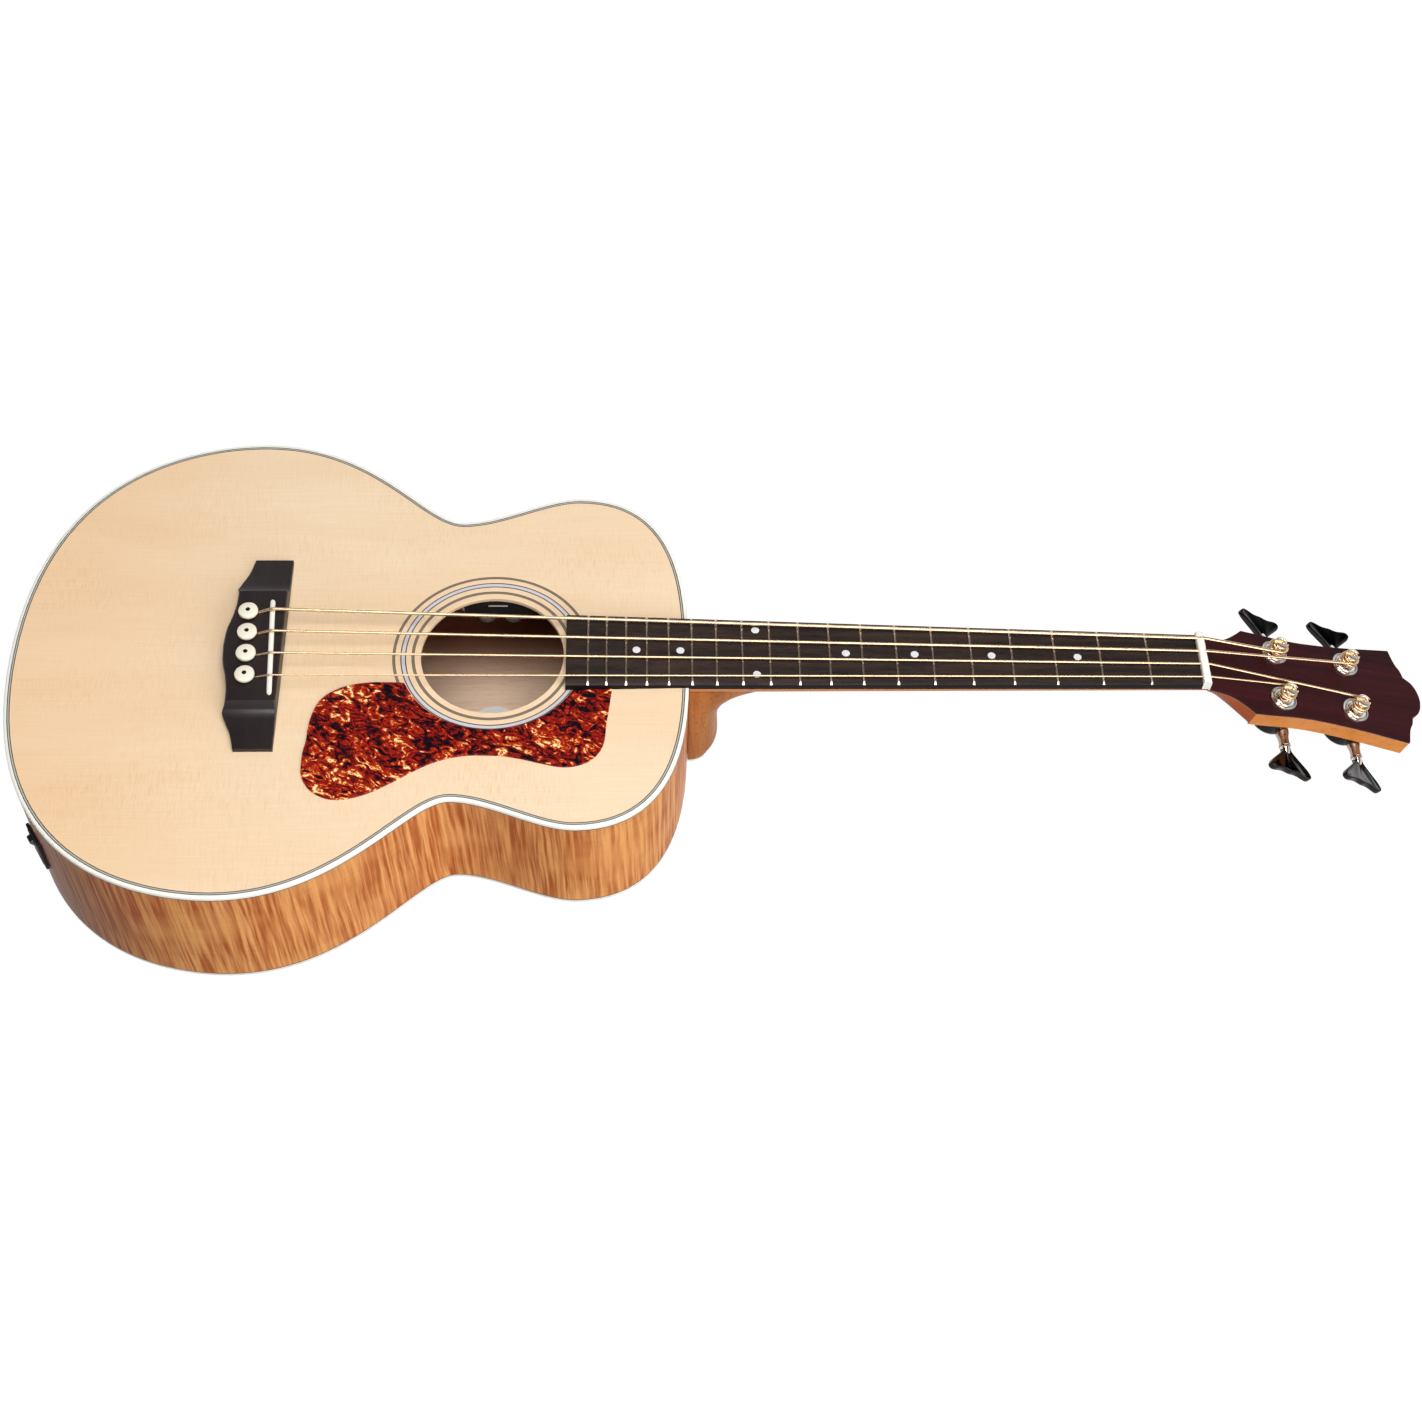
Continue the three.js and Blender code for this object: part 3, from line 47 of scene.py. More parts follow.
# Frames of the body, the neck and the headstock
bodySizes = {
    "tailToSaddle": 171.6, "length": 438.2, "lowerWidth": 365.2, "lowerFromTail": 148.2,
    "waistWidth": 224.8, "waistFromTail": 287.3, "upperWidth": 267.2, "upperFromTail": 365.5,
    "tailRound": 0.919, "lowerRound": 0.24, "intoWaist": (0.555, 0.184), "outOfWaist": (0.316, 0.302),
    "shoulder": (1.045, 0.261), "tailDepth": 100.6, "neckEndDepth": 87.5, "arch": 9.0, "archCentre": 0.665,
    "stepsPerCurve": (34, 30, 20, 30),
}
neckSizes = {
    "scale": 603.25, "pitch": 1.654, "rise": 4.02, "nutThickness": 5.6, "headTilt": 12.95, "faceDrop": 5.6,
    "boardThickness": 5.2, "nutWidth": 41.2, "twelfthWidth": 53.0, "gap": 0.3,
}
tailX = -bodySizes["tailToSaddle"]
neckEndX = bodySizes["length"] + tailX
rimTaper = (bodySizes["tailDepth"] - bodySizes["neckEndDepth"]) / bodySizes["length"]
archCentreX = tailX + bodySizes["archCentre"] * bodySizes["length"]


def rimDepth(x):
    return bodySizes["tailDepth"] - rimTaper * (x - tailX)


restTilt = math.atan(rimTaper)
restDepth = rimDepth(archCentreX) + bodySizes["arch"]
toMetres = Matrix.Scale(0.001, 4)
guitarTurn = Matrix.Rotation(restTilt, 4, "Y")
guitarFrame = toMetres @ guitarTurn @ Matrix.Translation((-archCentreX, 0, restDepth))
neckPitch = math.radians(neckSizes["pitch"])
neckTurn = Matrix.Rotation(neckPitch, 4, "Y")
neckLine = neckSizes["rise"] + neckEndX * math.tan(neckPitch)
neckInGuitar = Matrix.Translation((0, 0, neckLine)) @ neckTurn
neckFrame = guitarFrame @ neckInGuitar
headSetback = neckSizes["scale"] + neckSizes["nutThickness"] + 2 * neckSizes["gap"]
headInNeck = Matrix.Translation((headSetback, 0, -neckSizes["faceDrop"])) @ turnOf(neckSizes["headTilt"], "Y")
headInGuitar = neckInGuitar @ headInNeck
headFrame = guitarFrame @ headInGuitar

# The camera stands where the photograph was taken from
cameraSizes = {"azimuth": -3.313, "elevation": 54.501, "roll": 2.588, "aim": (280.16, -45.364, 0.0),
               "distance": 1401.974, "focal": 55.461, "sensor": 36.0, "nearest": 0.05, "farthest": 60}


def addObject(name, data):
    made = bpy.data.objects.new(name, data)
    bpy.context.scene.collection.objects.link(made)
    return made


def makeCamera(sizes):
    azimuth, elevation, roll = [math.radians(sizes[key]) for key in ("azimuth", "elevation", "roll")]
    back = Vector((math.sin(azimuth) * math.cos(elevation), -math.cos(azimuth) * math.cos(elevation),
                   math.sin(elevation)))
    right = Vector((0, 0, 1)).cross(back).normalized()
    up = back.cross(right)
    turnedRight = right * math.cos(roll) + up * math.sin(roll)
    turnedUp = up * math.cos(roll) - right * math.sin(roll)
    place = Vector(sizes["aim"]) + back * sizes["distance"]
    data = bpy.data.cameras.new("studioCamera")
    data.sensor_width = sizes["sensor"]
    data.lens = sizes["focal"]
    data.clip_start = sizes["nearest"]
    data.clip_end = sizes["farthest"]
    camera = addObject("studioCamera", data)
    basis = Matrix((turnedRight, turnedUp, back)).transposed().to_4x4()
    camera.matrix_world = Matrix.Translation(guitarFrame @ place) @ guitarTurn @ basis
    bpy.context.scene.camera = camera


makeCamera(cameraSizes)
bpy.context.scene.view_settings.view_transform = "Standard"
print("stage: camera placed")


# Small helpers for node trees
def feed(tree, socket, value):
    if isinstance(value, bpy.types.NodeSocket):
        tree.links.new(value, socket)
    else:
        socket.default_value = value


def addNode(tree, kind, settings=None, **inputs):
    made = tree.nodes.new("ShaderNode" + kind)
    for key, value in (settings or {}).items():
        setattr(made, key, value)
    for key, value in inputs.items():
        numbered = key[0] == "n" and key[1:].isdigit()
        feed(tree, made.inputs[int(key[1:]) if numbered else key.replace("_", " ")], value)
    return made.outputs


def calc(tree, operation, first, second=0.0, third=0.0, clamp=False):
    return addNode(tree, "Math", {"operation": operation, "use_clamp": clamp}, n0=first, n1=second, n2=third)[0]


def times(tree, first, second):
    return calc(tree, "MULTIPLY", first, second)


def minus(tree, first, second, clamp=False):
    return calc(tree, "SUBTRACT", first, second, clamp=clamp)


def fit(tree, value, gain, base, clamp=False):
    return calc(tree, "MULTIPLY_ADD", value, gain, base, clamp)


def vectorMath(tree, operation, first, second):
    return addNode(tree, "VectorMath", {"operation": operation}, n0=first, n1=second)[0]


def mixColor(tree, factor, first, second, mode="MIX"):
    return addNode(tree, "Mix", {"data_type": "RGBA", "blend_type": mode}, n0=factor, n6=first, n7=second)[2]


def grayOf(tree, tone):
    return addNode(tree, "CombineColor", n0=tone, n1=tone, n2=tone)[0]


def linear(red, green, blue):
    shares = [value / 255 for value in (red, green, blue)]
    return (*(share / 12.92 if share <= 0.04045 else ((share + 0.055) / 1.055) ** 2.4 for share in shares), 1)


def stretched(tree, vector, scale, rotation=(0, 0, 0)):
    return addNode(tree, "Mapping", Vector=vector, Scale=scale, Rotation=rotation)[0]


def noiseOf(tree, vector, scale=1.0, detail=2.0, roughness=0.5, distortion=0.0):
    return addNode(tree, "TexNoise", Vector=vector, Scale=scale, Detail=detail, Roughness=roughness,
                   Distortion=distortion)[0]


def partOf(tree, vector, axis):
    return addNode(tree, "SeparateXYZ", Vector=vector)[axis]


def objectVector(tree):
    return addNode(tree, "TexCoord")["Object"]


def uvVector(tree):
    return addNode(tree, "UVMap", {"uv_map": "grainMap"})[0]


# A group's inputs take their kind from their default: none for a vector, a number or a colour
def newGroup(name, inputs, outputs):
    tree = bpy.data.node_groups.new(name, "ShaderNodeTree")
    for label, value in inputs.items():
        kind = "Vector" if value is None else "Float" if isinstance(value, float) else "Color"
        socket = tree.interface.new_socket(name=label, in_out="INPUT", socket_type="NodeSocket" + kind)
        if value is not None:
            socket.default_value = value
    for label in outputs:
        kind = "Color" if label == "Color" else "Float"
        tree.interface.new_socket(name=label, in_out="OUTPUT", socket_type="NodeSocket" + kind)
    return tree, tree.nodes.new("NodeGroupInput").outputs, tree.nodes.new("NodeGroupOutput").inputs


def placeGroup(tree, group, **inputs):
    made = tree.nodes.new("ShaderNodeGroup")
    made.node_tree = group
    for key, value in inputs.items():
        feed(tree, made.inputs[key.replace("_", " ")], value)
    return made.outputs


# Straight wood grain: long lines along X of the vector, with broad soft bands and short pores
def makeGrainGroup():
    tree, given, put = newGroup("straightGrain", {
        "Vector": None, "Lines": 700.0, "Length": 6.0, "Bands": 30.0, "Line Strength": 0.5, "Band Strength": 0.5,
        "Dark": (0.1, 0.05, 0.02, 1), "Light": (0.5, 0.3, 0.1, 1)}, ("Color", "Lines", "Pores"))

    def along(count):
        scale = addNode(tree, "CombineXYZ", X=given["Length"], Y=given[count], Z=given[count])[0]
        return vectorMath(tree, "MULTIPLY", given["Vector"], scale)

    lineVector = along("Lines")
    lines = noiseOf(tree, lineVector, 1.0, 3.0, 0.6, 0.4)
    bands = noiseOf(tree, along("Bands"), 0.6, 3.0, 0.55, 0.6)
    pores = noiseOf(tree, vectorMath(tree, "MULTIPLY", lineVector, (22.0, 1.6, 1.6)), 1.0, 1.0)
    lineShare = times(tree, minus(tree, lines, 0.5), given["Line Strength"])
    bandShare = times(tree, minus(tree, bands, 0.5), given["Band Strength"])
    share = calc(tree, "ADD", calc(tree, "ADD", lineShare, bandShare), 0.5, clamp=True)
    feed(tree, put["Color"], mixColor(tree, share, given["Dark"], given["Light"]))
    feed(tree, put["Lines"], lines)
    feed(tree, put["Pores"], fit(tree, pores, 9.0, -5.4, True))
    return tree


# Flamed figure: stripes across the grain, wavering and of uneven strength
def makeFlameGroup():
    tree, given, put = newGroup("flamedFigure", {
        "Vector": None, "Stripes": 200.0, "Stripe Length": 16.0, "Waver": 0.5, "Strength": 1.0, "Gain": 3.2,
        "Level": 1.15}, ("Stripes", "Sheen", "Fibres"))
    start = given["Vector"]
    drift = addNode(tree, "TexNoise", Vector=stretched(tree, start, (26, 26, 26)), Scale=1.0, Detail=2.0)["Color"]
    centred = vectorMath(tree, "SUBTRACT", drift, (0.5, 0.5, 0.5))
    pushed = addNode(tree, "VectorMath", {"operation": "SCALE"}, n0=centred, Scale=times(tree, given["Waver"], 0.02))
    scale = addNode(tree, "CombineXYZ", X=given["Stripes"], Y=given["Stripe Length"], Z=given["Stripe Length"])[0]
    stripeVector = vectorMath(tree, "MULTIPLY", vectorMath(tree, "ADD", start, pushed[0]), scale)
    stripes = noiseOf(tree, stripeVector, 1.0, 2.5, 0.55)
    patches = noiseOf(tree, stretched(tree, start, (14, 22, 22)))
    strength = times(tree, fit(tree, patches, 2.2, -0.25, True), given["Strength"])
    sharp = minus(tree, times(tree, stripes, given["Gain"]), given["Level"], True)
    feed(tree, put["Stripes"], times(tree, minus(tree, 1.0, sharp), strength))
    feed(tree, put["Sheen"], stripes)
    feed(tree, put["Fibres"], noiseOf(tree, stretched(tree, start, (30, 1500, 1500))))
    return tree


# Handling marks: soft clouds of roughness with a few fine hair scratches
def makeMarksGroup():
    tree, given, put = newGroup("handlingMarks", {"Vector": None, "Scale": 60.0, "Low": 0.1, "High": 0.2},
                                ("Roughness", "Height"))
    clouds = noiseOf(tree, given["Vector"], given["Scale"], 4.0, 0.6)
    scratches = noiseOf(tree, stretched(tree, given["Vector"], (900, 40, 300), (0.4, 0.2, 0.7)), 1.0, 1.0)
    spread = minus(tree, given["High"], given["Low"])
    feed(tree, put["Roughness"], fit(tree, fit(tree, scratches, 0.25, clouds), spread, given["Low"]))
    feed(tree, put["Height"], clouds)
    return tree


grainGroup = makeGrainGroup()
flameGroup = makeFlameGroup()
marksGroup = makeMarksGroup()


def newMaterial(name, roughness=0.4, metallic=0.0, coat=0.0, coatRoughness=0.08, specular=0.5):
    material = bpy.data.materials.new(name)
    material.use_nodes = True
    tree = material.node_tree
    shader = tree.nodes["Principled BSDF"].inputs
    for key, value in {"Roughness": roughness, "Metallic": metallic, "Coat Weight": coat, "IOR": 1.5,
                       "Coat Roughness": coatRoughness, "Specular IOR Level": specular}.items():
        shader[key].default_value = value
    return material, tree, shader


def marksOf(tree, vector, scale, low, high):
    return placeGroup(tree, marksGroup, Vector=vector, Scale=scale, Low=low, High=high)


# The end that all materials share: colour, roughness from the marks, and a bump where one is given
def complete(made, color, marks, height=None, strength=0.1, distance=0.0002):
    material, tree, shader = made
    feed(tree, shader["Base Color"], color)
    feed(tree, shader["Roughness"], marks["Roughness"])
    if height is not None:
        feed(tree, shader["Normal"], addNode(tree, "Bump", Strength=strength, Distance=distance, Height=height)[0])
    return material


# Painted shade: a colour that deepens along one axis of the object, from none at start to all of the tone at stop
def paintShadeAlong(tree, color, axis, start, stop, tone, share=1.0):
    amount = addNode(tree, "MapRange", {"interpolation_type": "SMOOTHSTEP"}, n0=partOf(tree, objectVector(tree), axis),
                     n1=start, n2=stop, n3=0.0, n4=share)[0]
    return mixColor(tree, amount, color, linear(*tone), "MULTIPLY")


# Applies each painted shade of a look in turn
def paintShades(tree, color, paintedShades):
    for shade in paintedShades:
        color = paintShadeAlong(tree, color, *shade)
    return color


# Materials, each with its own tones and scales
# The top darkens slightly towards the tail: painted shade
spruceLook = {
    "dark": (238, 200, 154), "light": (254, 232, 202), "ray": (234, 192, 146), "lines": 900.0, "bands": 26.0,
    "rays": 0.7, "paintedShades": [("X", -0.1, -0.28, (252, 218, 174), 0.25)],
}


def makeSpruce(look):
    made = newMaterial("spruceTop", 0.42, 0, 0.12, 0.12)
    tree = made[1]
    vector = objectVector(tree)
    grain = placeGroup(tree, grainGroup, Vector=vector, Lines=look["lines"], Length=5.0, Bands=look["bands"],
                       Line_Strength=0.6, Band_Strength=0.8, Dark=linear(*look["dark"]), Light=linear(*look["light"]))
    rays = noiseOf(tree, stretched(tree, vector, (1300, 110, 110)))
    patches = noiseOf(tree, stretched(tree, vector, (9, 16, 16)))
    rayMask = times(tree, fit(tree, rays, 4.0, -1.9, True), fit(tree, patches, 2.4, -0.75, True))
    color = mixColor(tree, times(tree, rayMask, look["rays"]), grain["Color"], linear(*look["ray"]))
    color = paintShades(tree, color, look["paintedShades"])
    return complete(made, color, marksOf(tree, vector, 20.0, 0.34, 0.5), grain["Lines"], 0.05)


# The sides darken towards the tail: painted shade
sideLook = {
    "dark": (184, 92, 42), "light": (255, 190, 120), "mid": (242, 160, 92), "stripes": 360.0, "length": 13.0,
    "waver": 0.12, "tilt": -0.03, "gain": 4.6, "level": 1.85, "strength": 0.95, "specular": 0.03, "low": 0.28,
    "high": 0.42, "paintedShades": [("X", -0.16, -0.29, (188, 168, 178))],
}
backLook = {
    "dark": (130, 74, 34), "light": (226, 166, 104), "mid": (202, 138, 80), "stripes": 210.0, "length": 20.0,
    "waver": 0.6, "tilt": 0.0, "gain": 3.2, "level": 1.15, "strength": 0.8, "specular": 0.3, "low": 0.2,
    "high": 0.36, "paintedShades": [],
}


def makeFlamed(name, look, mapped):
    made = newMaterial(name, 0.36, specular=look["specular"])
    tree = made[1]
    vector = stretched(tree, uvVector(tree) if mapped else objectVector(tree), (1, 1, 1), (0, 0, look["tilt"]))
    flame = placeGroup(tree, flameGroup, Vector=vector, Stripes=look["stripes"], Stripe_Length=look["length"],
                       Waver=look["waver"], Strength=look["strength"], Gain=look["gain"], Level=look["level"])
    clouds = noiseOf(tree, stretched(tree, vector, (10, 30, 30)), 1.0, 3.0)
    base = mixColor(tree, clouds, linear(*look["mid"]), linear(*look["light"]))
    streaked = mixColor(tree, flame["Stripes"], base, linear(*look["dark"]))
    color = mixColor(tree, 1.0, streaked, grayOf(tree, fit(tree, flame["Fibres"], 0.35, 0.82)), "MULTIPLY")
    color = paintShades(tree, color, look["paintedShades"])
    return complete(made, color, marksOf(tree, vector, 18.0, look["low"], look["high"]), flame["Sheen"], 0.06, 0.0006)


def makeWood(name, dark, light, roughness=0.55, coat=0.0, lines=900.0, length=8.0, bands=60.0, lineStrength=0.9,
             bandStrength=0.9, poreColor=None, poreStrength=0.5, turn=(0, 0, 0), bump=0.12, specular=0.4, paintedShades=()):
    made = newMaterial(name, roughness, 0, coat, 0.07, specular)
    tree = made[1]
    vector = stretched(tree, objectVector(tree), (1, 1, 1), turn)
    grain = placeGroup(tree, grainGroup, Vector=vector, Lines=lines, Length=length, Bands=bands,
                       Line_Strength=lineStrength, Band_Strength=bandStrength, Dark=linear(*dark),
                       Light=linear(*light))
    color = grain["Color"]
    if poreColor:
        color = mixColor(tree, times(tree, grain["Pores"], poreStrength), color, linear(*poreColor))
    color = paintShades(tree, color, paintedShades)
    marks = marksOf(tree, vector, 30.0, roughness * 0.8, roughness * 1.2)
    return complete(made, color, marks, grain["Lines"], bump, 0.0003)


def tinted(tree, color, marks, variation, level):
    return mixColor(tree, 1.0, linear(*color), grayOf(tree, fit(tree, marks["Height"], variation, level)), "MULTIPLY")


def makePlastic(name, color, roughness=0.3, variation=0.06, coat=0.0, grainScale=0.0, specular=0.5):
    made = newMaterial(name, roughness, 0, coat, 0.05, specular)
    tree = made[1]
    vector = objectVector(tree)
    marks = marksOf(tree, vector, 90.0, roughness * 0.75, roughness * 1.3)
    height = noiseOf(tree, vector, grainScale) if grainScale else None
    return complete(made, tinted(tree, color, marks, variation, 1 - variation / 2), marks, height, 0.25)


def makeMetal(name, color, low, high):
    made = newMaterial(name, low, 1.0)
    tree = made[1]
    marks = marksOf(tree, objectVector(tree), 140.0, low, high)
    return complete(made, tinted(tree, color, marks, 0.14, 0.93), marks)


# Wound string: fine ribs round the wire, from the distance along it; the darker colour in the grooves between the ribs
# is painted shade
def makeWound(name, color, grooveShade, pitch):
    made = newMaterial(name, 0.25, 1.0)
    tree = made[1]
    rib = calc(tree, "SINE", times(tree, partOf(tree, uvVector(tree), "X"), 2 * math.pi / pitch))
    share = fit(tree, rib, 0.5, 0.5)
    color = mixColor(tree, share, linear(*grooveShade), linear(*color))
    return complete(made, color, marksOf(tree, objectVector(tree), 120.0, 0.2, 0.32), share, 0.06, 0.0001)


tortoiseLook = {
    "large": (100, 165, 130), "small": (300, 480, 380), "cloud": 34.0, "level": 0.42, "turn": 0.5, "neckEnd": 0.09,
    "tones": ((0.0, (14, 4, 14)), (0.18, (34, 6, 16)), (0.3, (98, 14, 12)), (0.5, (150, 24, 14)),
              (0.72, (186, 48, 16)), (0.8, (214, 108, 38)), (0.86, (248, 196, 100)), (1.0, (255, 238, 184))),
}


def makeTortoise(look):
    made = newMaterial("tortoiseSheet", 0.15, specular=0.3)
    tree = made[1]
    vector = stretched(tree, objectVector(tree), (1, 1, 1), (0, 0, look["turn"]))
    large = noiseOf(tree, stretched(tree, vector, look["large"]), 1.0, 5.0, 0.62, 1.7)
    small = noiseOf(tree, stretched(tree, vector, look["small"]), 1.0, 3.0, 0.6, 1.6)
    cloud = noiseOf(tree, vector, look["cloud"])
    value = fit(tree, large, 3.2, look["level"] - 1.6)
    value = fit(tree, small, 0.9, minus(tree, value, 0.45))
    value = fit(tree, cloud, 1.1, minus(tree, value, 0.55))
    reach = addNode(tree, "MapRange", n0=partOf(tree, objectVector(tree), "X"), n1=0.0, n2=0.08)[0]
    value = minus(tree, value, times(tree, look["neckEnd"], reach), True)
    ramp = tree.nodes.new("ShaderNodeValToRGB")
    feed(tree, ramp.inputs[0], value)
    elements = ramp.color_ramp.elements
    while len(elements) < len(look["tones"]):
        elements.new(0.5)
    for element, (place, tone) in zip(elements, look["tones"]):
        element.position = place
        element.color = linear(*tone)
    return complete(made, ramp.outputs[0], marksOf(tree, vector, 30.0, 0.1, 0.18))


neckTones = {"dark": (200, 110, 40), "light": (238, 156, 72), "roughness": 0.4, "coat": 0.1, "lines": 700,
             "bands": 70, "lineStrength": 0.7, "poreColor": (150, 84, 34), "poreStrength": 0.4, "specular": 0.3}
looks = {
    "spruce": makeSpruce(spruceLook),
    "side": makeFlamed("flamedSide", sideLook, True),
    "back": makeFlamed("flamedBack", backLook, False),
    # Braces, linings and the sides' inner faces: their wood tone set darker as painted shade inside the body
    "brace": makeWood("braceWoodShadeDarkened", (150, 106, 68), (186, 144, 98), 0.7, lines=1100, bands=40),
    # The inside maple darkens towards +Y, the far edge of the soundhole: painted shade
    "inner": makeWood("innerMaplePaintedShade", (230, 180, 144), (255, 232, 206), 0.65, lines=800, length=5, bands=50,
                      poreColor=(190, 146, 116), poreStrength=0.3, paintedShades=[("Y", 0.045, 0.095, (150, 106, 90))]),
    "block": makeWood("blockWood", (126, 80, 46), (170, 118, 76), 0.7),
    "neck": makeWood("neckWood", **neckTones),
    # The neck shaft darkens from just before the nut on into the headstock root: painted shade
    "throat": makeWood("throatWoodPaintedShade", **neckTones, paintedShades=[("X", 0.45, 0.48, (200, 160, 150))]),
    "heel": makeWood("heelWood", (146, 82, 36), (202, 132, 70), 0.4, lines=420, length=16, bands=110, bandStrength=2.0,
                     poreColor=(122, 68, 30), turn=(0, math.radians(90), 0), specular=0.15),
    "board": makeWood("fretboardWood", (15, 11, 12), (60, 45, 38), 0.5, lines=1300, length=10, bands=190,
                      lineStrength=1.7, bandStrength=1.8, poreColor=(14, 10, 10), poreStrength=0.8, specular=0.25),
    # The fretboard's sides and edge rounds take a much darker copy of its wood: painted shade
    "boardSideShade": makeWood("fretboardSidePaintedShade", (8, 5, 8), (22, 16, 16), 0.5, lines=1500, length=18, specular=0.15),
    "bridge": makeWood("bridgeWood", (17, 11, 13), (46, 33, 33), 0.34, lines=1400, length=14, bands=120,
                       lineStrength=1.1, bandStrength=1.1, poreColor=(16, 10, 12), poreStrength=0.8,
                       turn=(0, 0, math.radians(90))),
    "veneer": makeWood("headVeneer", (20, 7, 10), (66, 21, 25), 0.34, bands=120, lineStrength=1.1, bandStrength=1.6,
                       poreColor=(18, 6, 8), poreStrength=0.6, turn=(0, -math.radians(16.3), 0), bump=0.05,
                       specular=0.12),
    "ivory": makePlastic("ivoryTrim", (252, 249, 238), 0.28, 0.03, 0.1),
    "pin": makePlastic("pinIvory", (246, 238, 216), 0.3, 0.06, 0.1),
    "line": makePlastic("thinDarkLine", (66, 60, 55), 0.4),
    "edgeLine": makePlastic("sideEdgeLine", (52, 38, 30), 0.4),
    "softLine": makePlastic("softBrownLine", (98, 84, 74), 0.4),
    "underLine": makePlastic("underVeneerLine", (146, 112, 90), 0.4),
    # Grey inlay of the top purfling, also used for the painted highlight on the preamplifier
    "gray": makePlastic("grayInlayAndHighlight", (190, 188, 178), 0.35),
    "brownGray": makePlastic("brownGrayInlay", (138, 118, 100), 0.35),
    "lavender": makePlastic("lavenderInlay", (214, 209, 215), 0.35),
    "pearl": makePlastic("pearlDot", (232, 232, 236), 0.25, 0.1, 0.1),
    "tortoise": makeTortoise(tortoiseLook),
    "chrome": makeMetal("brightChrome", (232, 226, 218), 0.06, 0.16),
    "warmChrome": makeMetal("warmChrome", (250, 235, 214), 0.08, 0.18),
    "darkChrome": makeMetal("darkChrome", (36, 33, 33), 0.05, 0.14),
    "armChrome": makeMetal("armChrome", (172, 160, 150), 0.1, 0.2),
    "keyRim": makeMetal("keyRim", (48, 43, 43), 0.06, 0.14),
    "keyFace": makeMetal("keyFace", (15, 13, 15), 0.05, 0.12),
    "fret": makeMetal("nickelSilver", (206, 190, 178), 0.2, 0.3),
    "steel": makeMetal("rodSteel", (150, 152, 156), 0.3, 0.5),
    "wheel": makePlastic("wheelRubber", (82, 74, 68), 0.5, 0.1),
    "black": makePlastic("blackPlastic", (24, 22, 24), 0.45, 0.1, 0.0, 1800.0, 0.15),
    "blackGloss": makePlastic("blackGloss", (16, 15, 16), 0.16, 0.1, 0.3),
    "label": makePlastic("labelPaper", (240, 238, 232), 0.6),
}
woundPitches = {"e": 0.0005, "a": 0.00042, "d": 0.00036, "g": 0.0003}
for key, pitch in woundPitches.items():
    looks["string_" + key] = makeWound("woundBronze_" + key, (236, 206, 168), (214, 178, 138), pitch)
print("stage: materials made")


# Mesh helpers, all in millimetres of the frame that a piece is placed in
def faceOutward(mesh):
    bm = bmesh.new()
    bm.from_mesh(mesh)
    bmesh.ops.recalc_face_normals(bm, faces=bm.faces)
    bm.to_mesh(mesh)
    bm.free()


def makePiece(name, shape, look, place=guitarFrame, body="instrument", replaces=None, slot=None, bands=None,
              sharp=35.0, bevel=0.0, segments=2, uvs=None):
    mesh = bpy.data.meshes.new(name)
    mesh.from_pydata([place @ Vector(p) for p in shape[0]], [], shape[1])
    for key in [look] if isinstance(look, str) else look:
        mesh.materials.append(looks[key])
    if bands:
        mesh.polygons.foreach_set("material_index", bands)
    if uvs:
        layer = mesh.uv_layers.new(name="grainMap")
        for corner, loop in zip(layer.data, mesh.loops):
            corner.uv = uvs[loop.vertex_index]
    mesh.validate()
    faceOutward(mesh)
    mesh.polygons.foreach_set("use_smooth", [True] * len(mesh.polygons))
    mesh.set_sharp_from_angle(angle=math.radians(sharp))
    piece = addObject(name, mesh)
    if bevel:
        edge = piece.modifiers.new("softEdge", "BEVEL")
        edge.width = bevel * 0.001
        edge.segments = segments
        edge.limit_method = "ANGLE"
        edge.angle_limit = math.radians(30)
        edge.harden_normals = True
    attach(piece, body)
    if replaces:
        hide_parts(replaces)
    return piece


# A run of material numbers for a lofted shape: one pattern per ring, then its ends
def banded(shape, pattern, ends=()):
    return list(pattern) * ((len(shape[1]) - len(ends)) // len(pattern)) + list(ends)


def circle(steps):
    return [(math.cos(2 * math.pi * k / steps), math.sin(2 * math.pi * k / steps)) for k in range(steps)]


def loft(rings, closed=False):
    count = len(rings[0])
    points = [p for ring in rings for p in ring]
    faces = []
    for i in range(len(rings) if closed else len(rings) - 1):
        a = i * count
        b = ((i + 1) % len(rings)) * count
        for j in range(count):
            k = (j + 1) % count
            faces.append((a + j, b + j, b + k, a + k))
    if not closed:
        faces.append(tuple(range(count)))
        faces.append(tuple((len(rings) - 1) * count + j for j in reversed(range(count))))
    return points, faces


def plate(outline, low, high):
    return loft([[(x, y, low) for x, y in outline], [(x, y, high) for x, y in outline]])


def block(x0, x1, y0, y1, z0, z1):
    return plate([(x0, y0), (x1, y0), (x1, y1), (x0, y1)], z0, z1)


# Part of a round edge, from one angle to another
def arc(x, z, reachX, reachZ, start, stop, steps):
    turns = [math.radians(start + (stop - start) * k / steps) for k in range(steps + 1)]
    return [(x + reachX * math.cos(turn), z + reachZ * math.sin(turn)) for turn in turns]


def turned(profile, steps, centre=(0, 0)):
    return loft([[(centre[0] + r * c, centre[1] + r * n, z) for c, n in circle(steps)] for r, z in profile])


def roundSection(section, steps, centre=0):
    return loft([[(centre + r * c, r * n, z) for r, z in section] for c, n in circle(steps)], True)


def mergeShapes(*shapes):
    points, faces = [], []
    for shapePoints, shapeFaces in shapes:
        start = len(points)
        points += list(shapePoints)
        faces += [tuple(start + i for i in face) for face in shapeFaces]
    return points, faces


def moved(shape, matrix):
    points, faces = shape
    return [tuple(matrix @ Vector(p)) for p in points], faces


